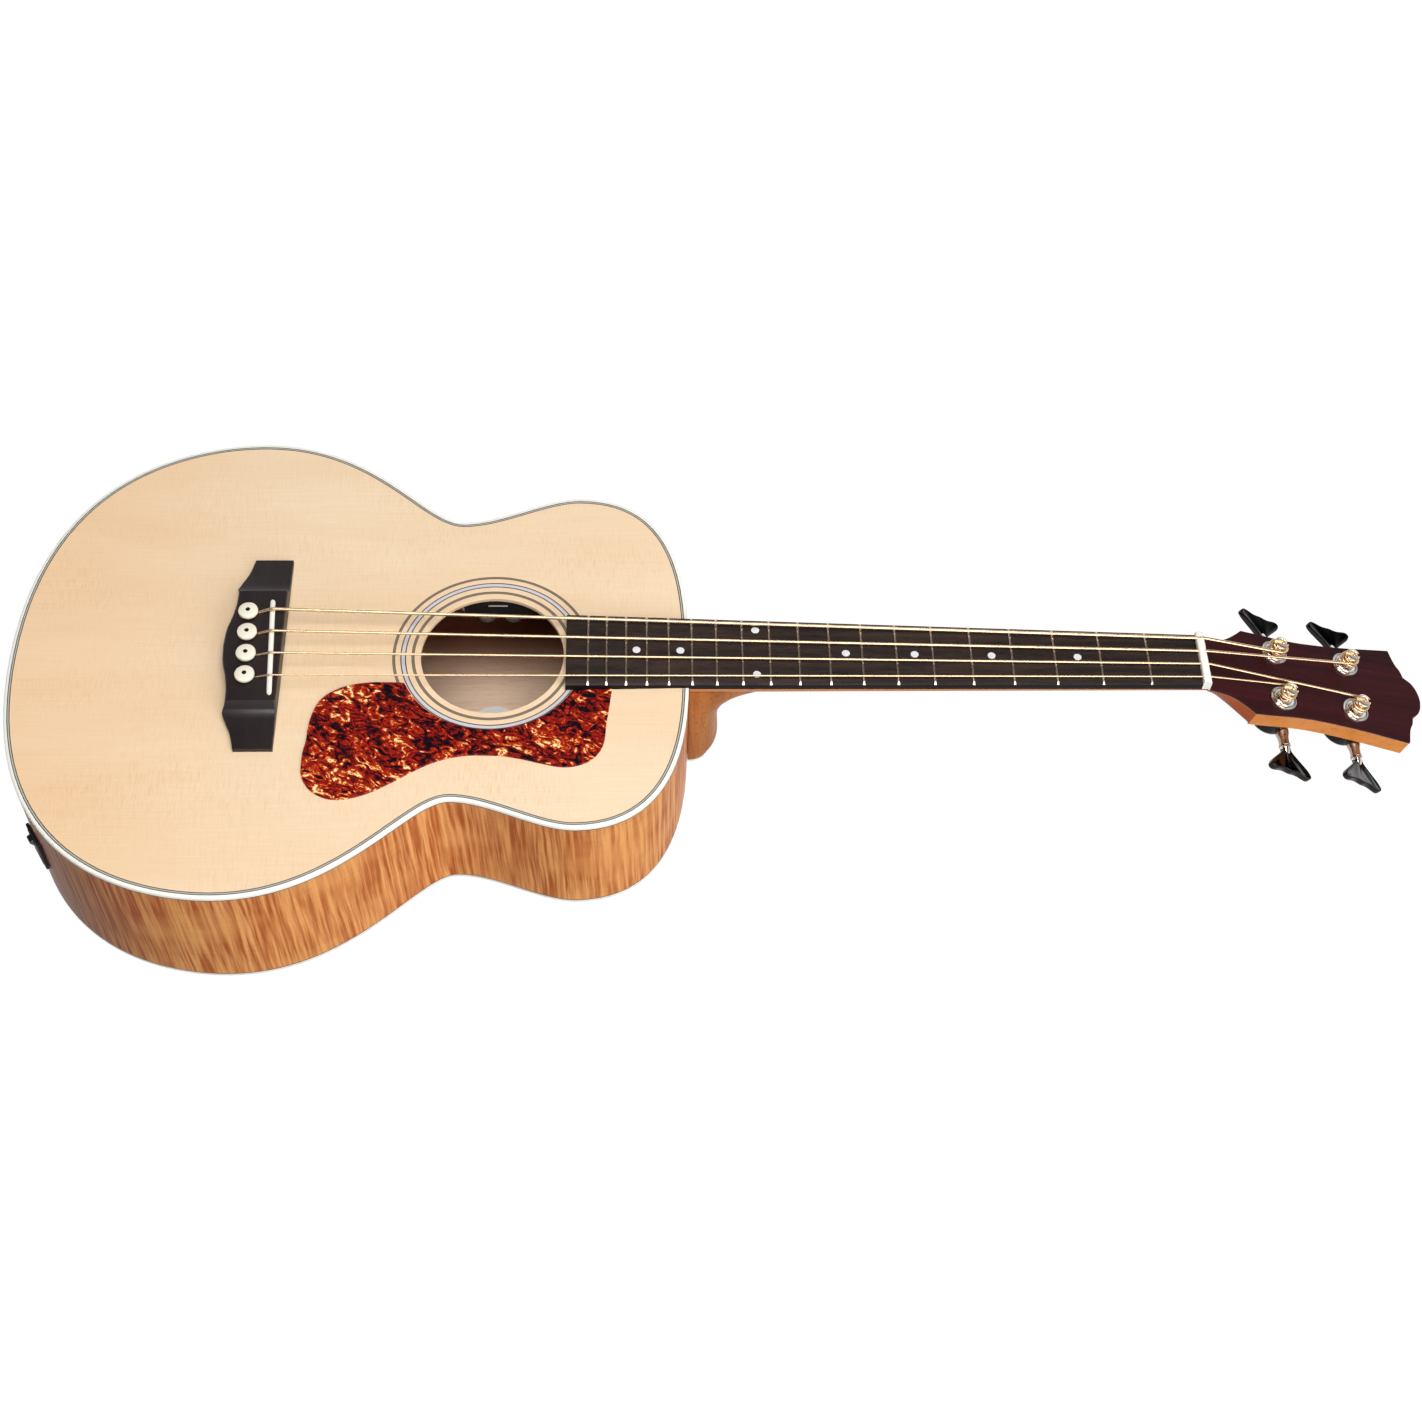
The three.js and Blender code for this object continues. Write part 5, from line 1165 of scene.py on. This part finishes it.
def makeSaddle(s):
    rings = []
    half = s["thickness"] / 2
    soft = s["round"]
    shares = list(s["ends"]) + [(k / 12, 1) for k in range(1, 12)] + [(1 - a, b) for a, b in reversed(s["ends"])]
    for share, full in shares:
        y = -s["treble"] + share * (s["treble"] + s["bass"])
        x = saddleLine(y)
        wide = half * full
        crest = s["crest"] - (1 - full) * s["endDrop"] - s["bow"] * (2 * share - 1) ** 2
        section = [(x + wide, s["low"])] + arc(x, crest - soft, wide, soft, 0, 180, 6) + [(x - wide, s["low"])]
        rings.append([(px, y, pz) for px, pz in section])
    makePiece("saddleBar", loft(rings), "ivory", replaces="saddle", slot="ivory_trim", sharp=50)


makeSaddle(saddleSizes)

pinSizes = {
    "fromSaddle": 17.9, "spacing": 17.0, "skew": 0.053, "steps": 40, "dotSteps": 24,
    "profile": ((2.9, -15.2), (3.3, -14.8), (4.0, 10.6), (4.3, 11.0), (5.0, 11.15), (5.2, 11.5), (4.9, 11.9),
                (4.8, 12.1), (5.5, 12.25), (6.15, 12.55), (6.4, 13.1), (6.4, 14.1), (6.15, 14.7), (5.3, 15.1),
                (3.6, 15.36), (1.4, 15.45)),
    "dot": ((1.5, 14.8), (1.5, 15.48), (1.3, 15.55), (0.6, 15.58)),
}
stringKeys = ("e", "a", "d", "g")


def pinPlace(i):
    y = (1.5 - i) * pinSizes["spacing"]
    return -pinSizes["fromSaddle"] - pinSizes["skew"] * y, y


def makePins(s):
    for i, key in enumerate(stringKeys):
        node = "bridge_pin_" + key
        makePiece("bridgePin_" + key, turned(s["profile"], s["steps"], pinPlace(i)), "pin", replaces=node,
                  slot="ivory_trim", sharp=40)
        makePiece("pinDot_" + key, turned(s["dot"], s["dotSteps"], pinPlace(i)), "blackGloss", replaces=node,
                  slot="black_plastic")


makePins(pinSizes)
print("stage: bridge made")

# Pickguard, cut round the rosette and the fretboard
guardSizes = {
    "start": 22.8, "length": 194.0, "width": 89.4, "edge": -23.3, "thickness": 1.2, "hole": 60.1, "perSpan": 3,
    "boardGap": 0.25, "arcSteps": 70,
    "shares": ((0.62, 0.02), (0.312, 0), (0.244, -0.006), (0.183, 0), (0.123, 0.028), (0.072, 0.084),
               (0.036, 0.168), (0.018, 0.28), (0.01, 0.392), (0.008, 0.503), (0.001, 0.597), (0, 0.69),
               (0.003, 0.793), (0.02, 0.877), (0.05, 0.947), (0.089, 0.989), (0.131, 1), (0.183, 0.979),
               (0.235, 0.933), (0.295, 0.858), (0.355, 0.774), (0.415, 0.699), (0.475, 0.653), (0.536, 0.631),
               (0.596, 0.631), (0.656, 0.64), (0.716, 0.668), (0.768, 0.699), (0.82, 0.727), (0.862, 0.732),
               (0.905, 0.709), (0.94, 0.662), (0.965, 0.587), (0.977, 0.503), (0.982, 0.374), (0.99, 0.243),
               (1, 0.066)),
}


# The sheet's rim runs round outside, then along the fretboard and back round the rosette
def guardOutline(s):
    corners = [(s["start"] + a * s["length"], s["edge"] - b * s["width"], 0) for a, b in s["shares"]]
    hole = boardSizes["holeX"]
    outer = [(x, y) for x, y, _ in throughPoints(corners[1:], (), s["perSpan"])
             if math.hypot(x - hole, y) > s["hole"]]
    nearBoard = -halfWidthAt(outer[-1][0]) - s["boardGap"]
    meets = math.asin((-halfWidthAt(hole + 0.87 * s["hole"]) - s["boardGap"]) / s["hole"])
    leaves = math.atan2(outer[0][1], outer[0][0] - hole)
    edge = arc(hole, 0, s["hole"], s["hole"], math.degrees(meets), math.degrees(leaves), s["arcSteps"])
    return outer + [(outer[-1][0], nearBoard)] + edge[:-1]


def makeGuard(s):
    outline = guardOutline(s)
    makePiece("tortoiseGuard", plate(outline, 0.02, 0.02 + s["thickness"]), "tortoise", replaces="pickguard",
              slot="tortoise_sheet", bevel=0.35)


makeGuard(guardSizes)
print("stage: pickguard made")


# Tuning machines stand in frames of their own on the headstock
machineSizes = {"first": 53.0, "spacing": 53.3, "side": 19.0, "shaft": 6.6, "middle": -18.8, "thickness": 13.5,
                "angles": {"e": 18.0, "a": 11.0, "d": 21.0, "g": 16.0}}
machinePlaces = {"e": (0, 1), "a": (1, 1), "d": (1, -1), "g": (0, -1)}


def postPlace(key):
    pair, side = machinePlaces[key]
    return machineSizes["first"] + pair * machineSizes["spacing"], side * machineSizes["side"]


def machineFrame(key):
    return headFrame @ Matrix.Translation((*postPlace(key), 0))


# Strings: bare ball end, up through the bridge, over the saddle and the nut, and round the post
stringSizes = {"diameters": {"e": 2.3, "a": 1.9, "d": 1.55, "g": 1.15}, "saddleSpacing": 17.6, "nutSpacing": 10.4,
               "ball": 5.6, "turns": {"e": 1.5, "a": 1.7, "d": 1.7, "g": 2.2}, "gap": 0.55, "waist": 4.1,
               "postTop": 12.8, "cap": 2.2, "stepsPerTurn": 56, "sides": 14, "slot": 4.0, "ballTop": -6.3,
               "bridgeTop": 9.6, "saddleTop": 13.3, "nutTop": 1.2, "bend": 1.6, "nutBend": 1.0}


def softCorner(before, corner, after, reach, steps=5):
    a = corner + (before - corner).normalized() * reach
    b = corner + (after - corner).normalized() * reach
    return [a * (1 - t) ** 2 + corner * 2 * t * (1 - t) + b * t ** 2 for t in [k / steps for k in range(steps + 1)]]


def makeStrings(s):
    for i, key in enumerate(stringKeys):
        diameter = s["diameters"][key]
        radius = diameter / 2
        pinX, pinY = pinPlace(i)
        riseX = pinX + s["slot"] - radius / 2
        ballTop = s["ballTop"]
        saddleY = (1.5 - i) * s["saddleSpacing"]
        nutY = (1.5 - i) * s["nutSpacing"]
        nutHeight = s["nutTop"] + radius
        side = machinePlaces[key][1]
        postX, postY = postPlace(key)
        reach = s["waist"] + 0.3 + radius
        top = s["postTop"] - s["cap"] - 0.6 - radius
        pitch = diameter + s["gap"]
        count = round(s["turns"][key] * s["stepsPerTurn"])
        winding = []
        for k in range(count + 1):
            turn = 2 * math.pi * k / s["stepsPerTurn"]
            at = (postX + reach * math.sin(turn), postY - side * reach * math.cos(turn))
            winding.append(headInGuitar @ Vector((*at, top - pitch * turn / (2 * math.pi))))
        scale = neckSizes["scale"]
        low = Vector((riseX, pinY, ballTop - 4))
        rise = Vector((riseX, pinY, s["bridgeTop"] + radius / 2))
        crest = Vector((saddleLine(saddleY), saddleY, s["saddleTop"] + radius))
        nutFront = neckInGuitar @ Vector((scale, nutY, nutHeight))
        nutBack = neckInGuitar @ Vector((scale + neckSizes["nutThickness"], nutY, nutHeight))
        lead = headInGuitar @ Vector((postX - diameter, postY - side * reach, top))
        route = [low, low + Vector((0, 0, 0.3)), Vector((riseX, pinY, ballTop - 0.3)), Vector((riseX, pinY, ballTop))]
        radii = [radius, s["ball"] / 2, s["ball"] / 2, radius]
        bend = s["bend"]
        rest = softCorner(route[-1], rise, crest, bend) + softCorner(rise, crest, nutFront, bend)
        rest += [crest.lerp(nutFront, k / 12) for k in range(1, 12)]
        rest += softCorner(crest, nutFront, nutBack, s["nutBend"]) + softCorner(nutFront, nutBack, lead, bend)
        rest += [nutBack.lerp(lead, k / 4) for k in range(1, 4)] + [lead] + winding
        rest.append(winding[-1] + (winding[-1] - winding[-2]).normalized() * diameter)
        route += rest
        radii += [radius] * len(rest)
        shape, uvs = sweep(route, radii, s["sides"])
        makePiece("stringWound_" + key, shape, "string_" + key, replaces="string_" + key, slot="bronze_wound",
                  uvs=uvs, sharp=60)


makeStrings(stringSizes)
print("stage: strings made")


def cutAway(piece, shape):
    mesh = bpy.data.meshes.new("cutter")
    mesh.from_pydata([Vector(p) for p in shape[0]], [], shape[1])
    faceOutward(mesh)
    cutter = addObject("cutter", mesh)
    change = piece.modifiers.new("opening", "BOOLEAN")
    change.operation = "DIFFERENCE"
    change.solver = "EXACT"
    change.object = cutter
    bpy.context.view_layer.update()
    made = bpy.data.meshes.new_from_object(piece.evaluated_get(bpy.context.evaluated_depsgraph_get()))
    piece.modifiers.remove(change)
    old = piece.data
    made.name = old.name
    piece.data = made
    bpy.data.meshes.remove(old)
    bpy.data.objects.remove(cutter)
    made.set_sharp_from_angle(angle=math.radians(32))


# One piece of the machine that a string belongs to
def machinePiece(name, key, shape, look, node, **settings):
    return makePiece(name + "_" + key, shape, look, place=machineFrame(key), replaces=node + "_" + key, **settings)


postSizes = {
    "profile": ((1.7, -20.4), (1.8, -20.3), (1.8, -17.4), (3.5, -17.3), (3.55, -17.0), (3.55, 2.9), (4.6, 2.95),
                (4.75, 3.05), (4.7, 3.25), (4.2, 3.5), (4.08, 3.9), (4.05, 6.5), (4.08, 9.6), (4.2, 10.1),
                (4.62, 10.6), (4.75, 10.9), (4.75, 11.6), (4.6, 11.75), (4.6, 11.85), (4.75, 12.0), (4.75, 12.45),
                (4.62, 12.7), (4.3, 12.8), (3.1, 12.8), (2.9, 12.6), (1.2, 12.6)),
    "slot": (2.4, 8.8), "gear": (4.0, 0.7, 3.0, 16), "steps": 56,
}


def makePosts(s):
    wide, floor = s["slot"]
    radius, tooth, thick, count = s["gear"]
    low = machineSizes["middle"] - thick / 2
    sizes = [radius if k % 4 < 2 else radius - tooth for k in range(count * 4)]
    gear = plate([(size * c, size * n) for size, (c, n) in zip(sizes, circle(count * 4))], low, low + thick)
    for key in stringKeys:
        post = machinePiece("stringPost", key, turned(s["profile"], s["steps"]), "warmChrome", "tuner_post",
                            body="post_" + key, slot="bright_chrome", sharp=28)
        cutAway(post, moved(block(-10, 10, -wide / 2, wide / 2, floor, 20), machineFrame(key)))
        machinePiece("postGear", key, gear, "steel", "tuner_post", body="post_" + key, slot="bright_chrome")


makePosts(postSizes)

washerSizes = {
    "profile": ((4.05, 2.38), (5.2, 2.4), (6.1, 2.35), (6.4, 2.1), (6.45, 1.5), (6.6, 1.15), (7.4, 0.95), (8.3, 1.05),
                (8.8, 1.2), (9.15, 1.1), (9.25, 0.8), (9.25, 0.05), (5.15, 0.03), (5.15, -9.0), (4.05, -9.0)),
    "steps": 72,
}


def makeWashers(s):
    for key in stringKeys:
        machinePiece("postWasher", key, roundSection(s["profile"], s["steps"]), "chrome", "tuner_bushing",
                     slot="bright_chrome", sharp=40)


makeWashers(washerSizes)

housingSizes = {
    "radius": 13.4, "floor": -23.8, "top": -13.52, "wall": 1.5, "steps": 64,
    "arm": ((4.6, 5.0), (4.6, 12.4), (4.5, 14.4), (3.8, 16.8), (3.55, 19.0), (3.5, 23.2), (3.9, 23.4), (3.9, 24.4),
            (3.6, 24.6), (2.2, 24.6)),
}


# Frame of a key's shaft: its Y axis points out from the headstock, and the angle turns about it
def shaftPlace(key, angle=0):
    out = Matrix.Scale(machinePlaces[key][1], 4, (0, 1, 0))
    middle = Matrix.Translation((machineSizes["shaft"], 0, machineSizes["middle"]))
    return middle @ turnOf(angle, "Y") @ out


def makeHousings(s):
    r, low, high, wall = s["radius"], s["floor"], s["top"], s["wall"]
    cup = turned(((2.0, low - 0.05), (r - 2.6, low), (r - 1.0, low + 0.5), (r - 0.25, low + 1.4), (r, low + 2.6),
                  (r, high - 0.4), (r - 0.3, high), (r - wall, high), (r - wall, high - 0.6), (2.0, high - 0.7)),
                 s["steps"])
    arm = turned(s["arm"], 40)
    for key in stringKeys:
        machinePiece("housing", key, cup, "darkChrome", "tuner_housing", slot="dark_chrome", sharp=35)
        machinePiece("housingArm", key, moved(arm, shaftPlace(key) @ turnOf(-90, "X")), "armChrome", "tuner_housing",
                     slot="dark_chrome", sharp=35)


makeHousings(housingSizes)

# Keys: a shaft with its worm and collar, and two swept wings with a rolled rim
keySizes = {
    "reach": 46.4, "start": 26.2, "halfSpan": 17.5, "thickness": 4.4,
    "rim": ((1.2, 0.35), (0.8, 0.1), (0.5, 0.02), (0.18, 0.2), (0.0, 0.6)), "worm": (2.25, 1.85, 1.5, 6),
    "inner": ((1.0, -6.4), (1.75, -6.2), (1.8, -4.6)),
    "outer": ((1.8, 4.6), (1.8, 25.0), (3.3, 25.05), (3.4, 25.3), (3.4, 26.5), (3.1, 27.0), (3.0, 28.0), (2.4, 30.0),
              (1.2, 31.8)),
    "shares": ((0, 0.17), (0.12, 0.2), (0.3, 0.4), (0.5, 0.66), (0.68, 0.88), (0.82, 0.985), (0.9, 1.0), (0.97, 0.95),
               (1.0, 0.84), (0.985, 0.68), (0.945, 0.5), (0.925, 0.34), (0.93, 0.18), (0.945, 0.06)),
}


def keyOutline(s):
    long = s["reach"] - s["start"]
    right = throughPoints([(b * s["halfSpan"], s["start"] + a * long, 0) for a, b in s["shares"]], (), 5)
    return [(x, y) for x, y, _ in right] + [(-x, y) for x, y, _ in reversed(right)]


def shrunk(outline, amount):
    made = []
    count = len(outline)
    for i, (x, y) in enumerate(outline):
        ax, ay = outline[i - 1]
        bx, by = outline[(i + 1) % count]
        dx, dy = bx - ax, by - ay
        size = math.hypot(dx, dy) or 1
        made.append((x - dy / size * amount, y + dx / size * amount))
    return made


def makeKeys(s):
    outline = keyOutline(s)
    count = len(outline)
    half = s["thickness"] / 2
    levels = [(amount, drop - half) for amount, drop in s["rim"]]
    levels += [(amount, half - drop) for amount, drop in reversed(s["rim"])]
    wings = loft([[(x, y, z) for x, y in shrunk(outline, amount)] for amount, z in levels])
    bands = [1] * count + [0] * count * (len(levels) - 3) + [1] * (count + 2)
    crest, root, pitch, teeth = s["worm"]
    worm = [spot for k in range(teeth) for spot in ((crest, pitch * k - 4.4), (root, pitch * k - 3.6))]
    shaft = turned((*s["inner"], *worm, *s["outer"]), 36)
    for key in stringKeys:
        place = shaftPlace(key, machineSizes["angles"][key])
        machinePiece("keyWings", key, moved(wings, place), ["keyRim", "keyFace"], "tuner_key", body="key_" + key,
                     slot="dark_chrome", bands=bands, sharp=55)
        machinePiece("keyShaft", key, moved(shaft, place @ turnOf(-90, "X")), "chrome", "tuner_key",
                     body="key_" + key, slot="dark_chrome", sharp=40)


makeKeys(keySizes)
print("stage: tuning machines made")

# Battery box in the treble side of the tail, with its hinged door
batterySizes = {"share": 0.31, "aboveBack": 54.0, "plate": (30.0, 21.0, 2.0), "door": (25.0, 15.0, 2.6), "tub": 27.0,
                  "wall": 1.5, "latch": (5.5, 2.6), "corners": (3.0, 1.2, 2.0, 1.0), "clearance": 0.2, "doorGap": 0.4,
                "lift": 0.05}


def makeBattery(s):
    at, along = bezier(rimCurves[0], s["share"])
    outX, outY = -along.y, along.x
    facing = Matrix.Rotation(math.atan2(-outY, outX), 4, "Z")
    place = guitarFrame @ Matrix.Translation((at.x, -at.y, s["aboveBack"] - rimDepth(at.x))) @ facing
    high, wide, thick = s["plate"]
    doorHigh, doorWide, doorThick = s["door"]
    wall = s["wall"]
    lift = s["lift"]
    front = lift + thick
    frameCorner, mouthCorner, tubCorner, doorCorner = s["corners"]
    clearWide, clearHigh = [size / 2 + wall + s["clearance"] for size in (doorWide, doorHigh)]
    opening = block(-s["tub"], front + 2, -clearWide, clearWide, -clearHigh, clearHigh)
    cutAway(bpy.data.objects["sideTreble"], moved(opening, place))

    def roundBlock(y, z, corner, x0, x1, steps=6):
        outline = []
        for sideY, sideZ, start in ((1, 1, 0), (-1, 1, 90), (-1, -1, 180), (1, -1, 270)):
            outline += arc(sideY * (y - corner), sideZ * (z - corner), corner, corner, start, start + 90, steps)
        return [[(x, py, pz) for py, pz in outline] for x in (x0, x1)]

    floor = 0.3 - s["tub"]
    back, face = roundBlock(wide / 2, high / 2, frameCorner, lift, front)
    mouth, room = roundBlock(doorWide / 2, doorHigh / 2, mouthCorner, front, floor + wall)
    tubBack, tubFront = roundBlock(doorWide / 2 + wall, doorHigh / 2 + wall, tubCorner, floor, lift)
    softFace = [(x - 0.5, y, z) for x, y, z in face]
    innerFace = [(front, y * 0.965, z * 0.975) for x, y, z in face]
    rings = [tubBack, tubFront, back, softFace, innerFace, mouth, room]
    makePiece("batteryBox", loft(rings), "black", place=place, replaces="battery_box",
              slot="black_plastic", sharp=35)
    gap = s["doorGap"]
    doorFront = front + gap
    door = roundBlock(doorWide / 2 - gap, doorHigh / 2 - gap, doorCorner, doorFront - doorThick, doorFront)
    latchWide, latchHigh = s["latch"]
    top = doorHigh / 2 - 0.6
    half = latchWide / 2
    foot = [(-half, top - latchWide), (half, top - latchWide), (half, top), (-half, top)]
    tip = [(0.88 * y, top - 0.4 - 0.4 * (top - z)) for y, z in foot]
    latch = [[(x, y, z) for y, z in edge] for x, edge in
             ((doorFront - 0.2, foot), (doorFront + 0.8, foot), (doorFront + latchHigh - 0.1, tip))]
    makePiece("batteryDoor", loft(door), "black", place=place, body="door", replaces="battery_door",
              slot="black_plastic", bevel=0.35)
    makePiece("batteryLatch", loft(latch), "blackGloss", place=place, body="door", replaces="battery_door",
              slot="black_plastic", bevel=0.3)


makeBattery(batterySizes)

# Jack at the tail, which also takes the strap
jackSizes = {
    "drop": 50.3, "steps": 64,
    "profile": ((6.0, -37.3), (6.0, -21.5), (8.0, -21.4), (8.0, -18.4), (6.0, -18.3), (6.0, 0.05), (8.7, 0.05),
                (9.0, 0.35), (9.0, 1.6), (8.5, 2.2), (7.2, 2.9), (6.0, 3.9), (5.6, 5.2), (5.6, 8.2), (6.2, 8.9),
                (7.6, 9.3), (8.0, 9.7), (8.0, 11.6), (7.5, 12.2), (4.2, 12.3), (3.5, 11.9), (3.5, -35.3)),
}


def makeJack(s):
    place = guitarFrame @ Matrix.Translation((tailX, 0, -s["drop"])) @ turnOf(-90, "Y")
    makePiece("tailJack", roundSection(s["profile"], s["steps"]), "chrome", place=place, replaces="endpin_jack",
              slot="bright_chrome", sharp=35)
    floor = turned(((0.2, -37.2), (5.9, -37.2), (5.9, -35.4), (0.2, -35.4)), 32)
    makePiece("jackFloor", floor, "black", place=place, replaces="endpin_jack", slot="bright_chrome")


makeJack(jackSizes)
print("stage: battery box and jack made")
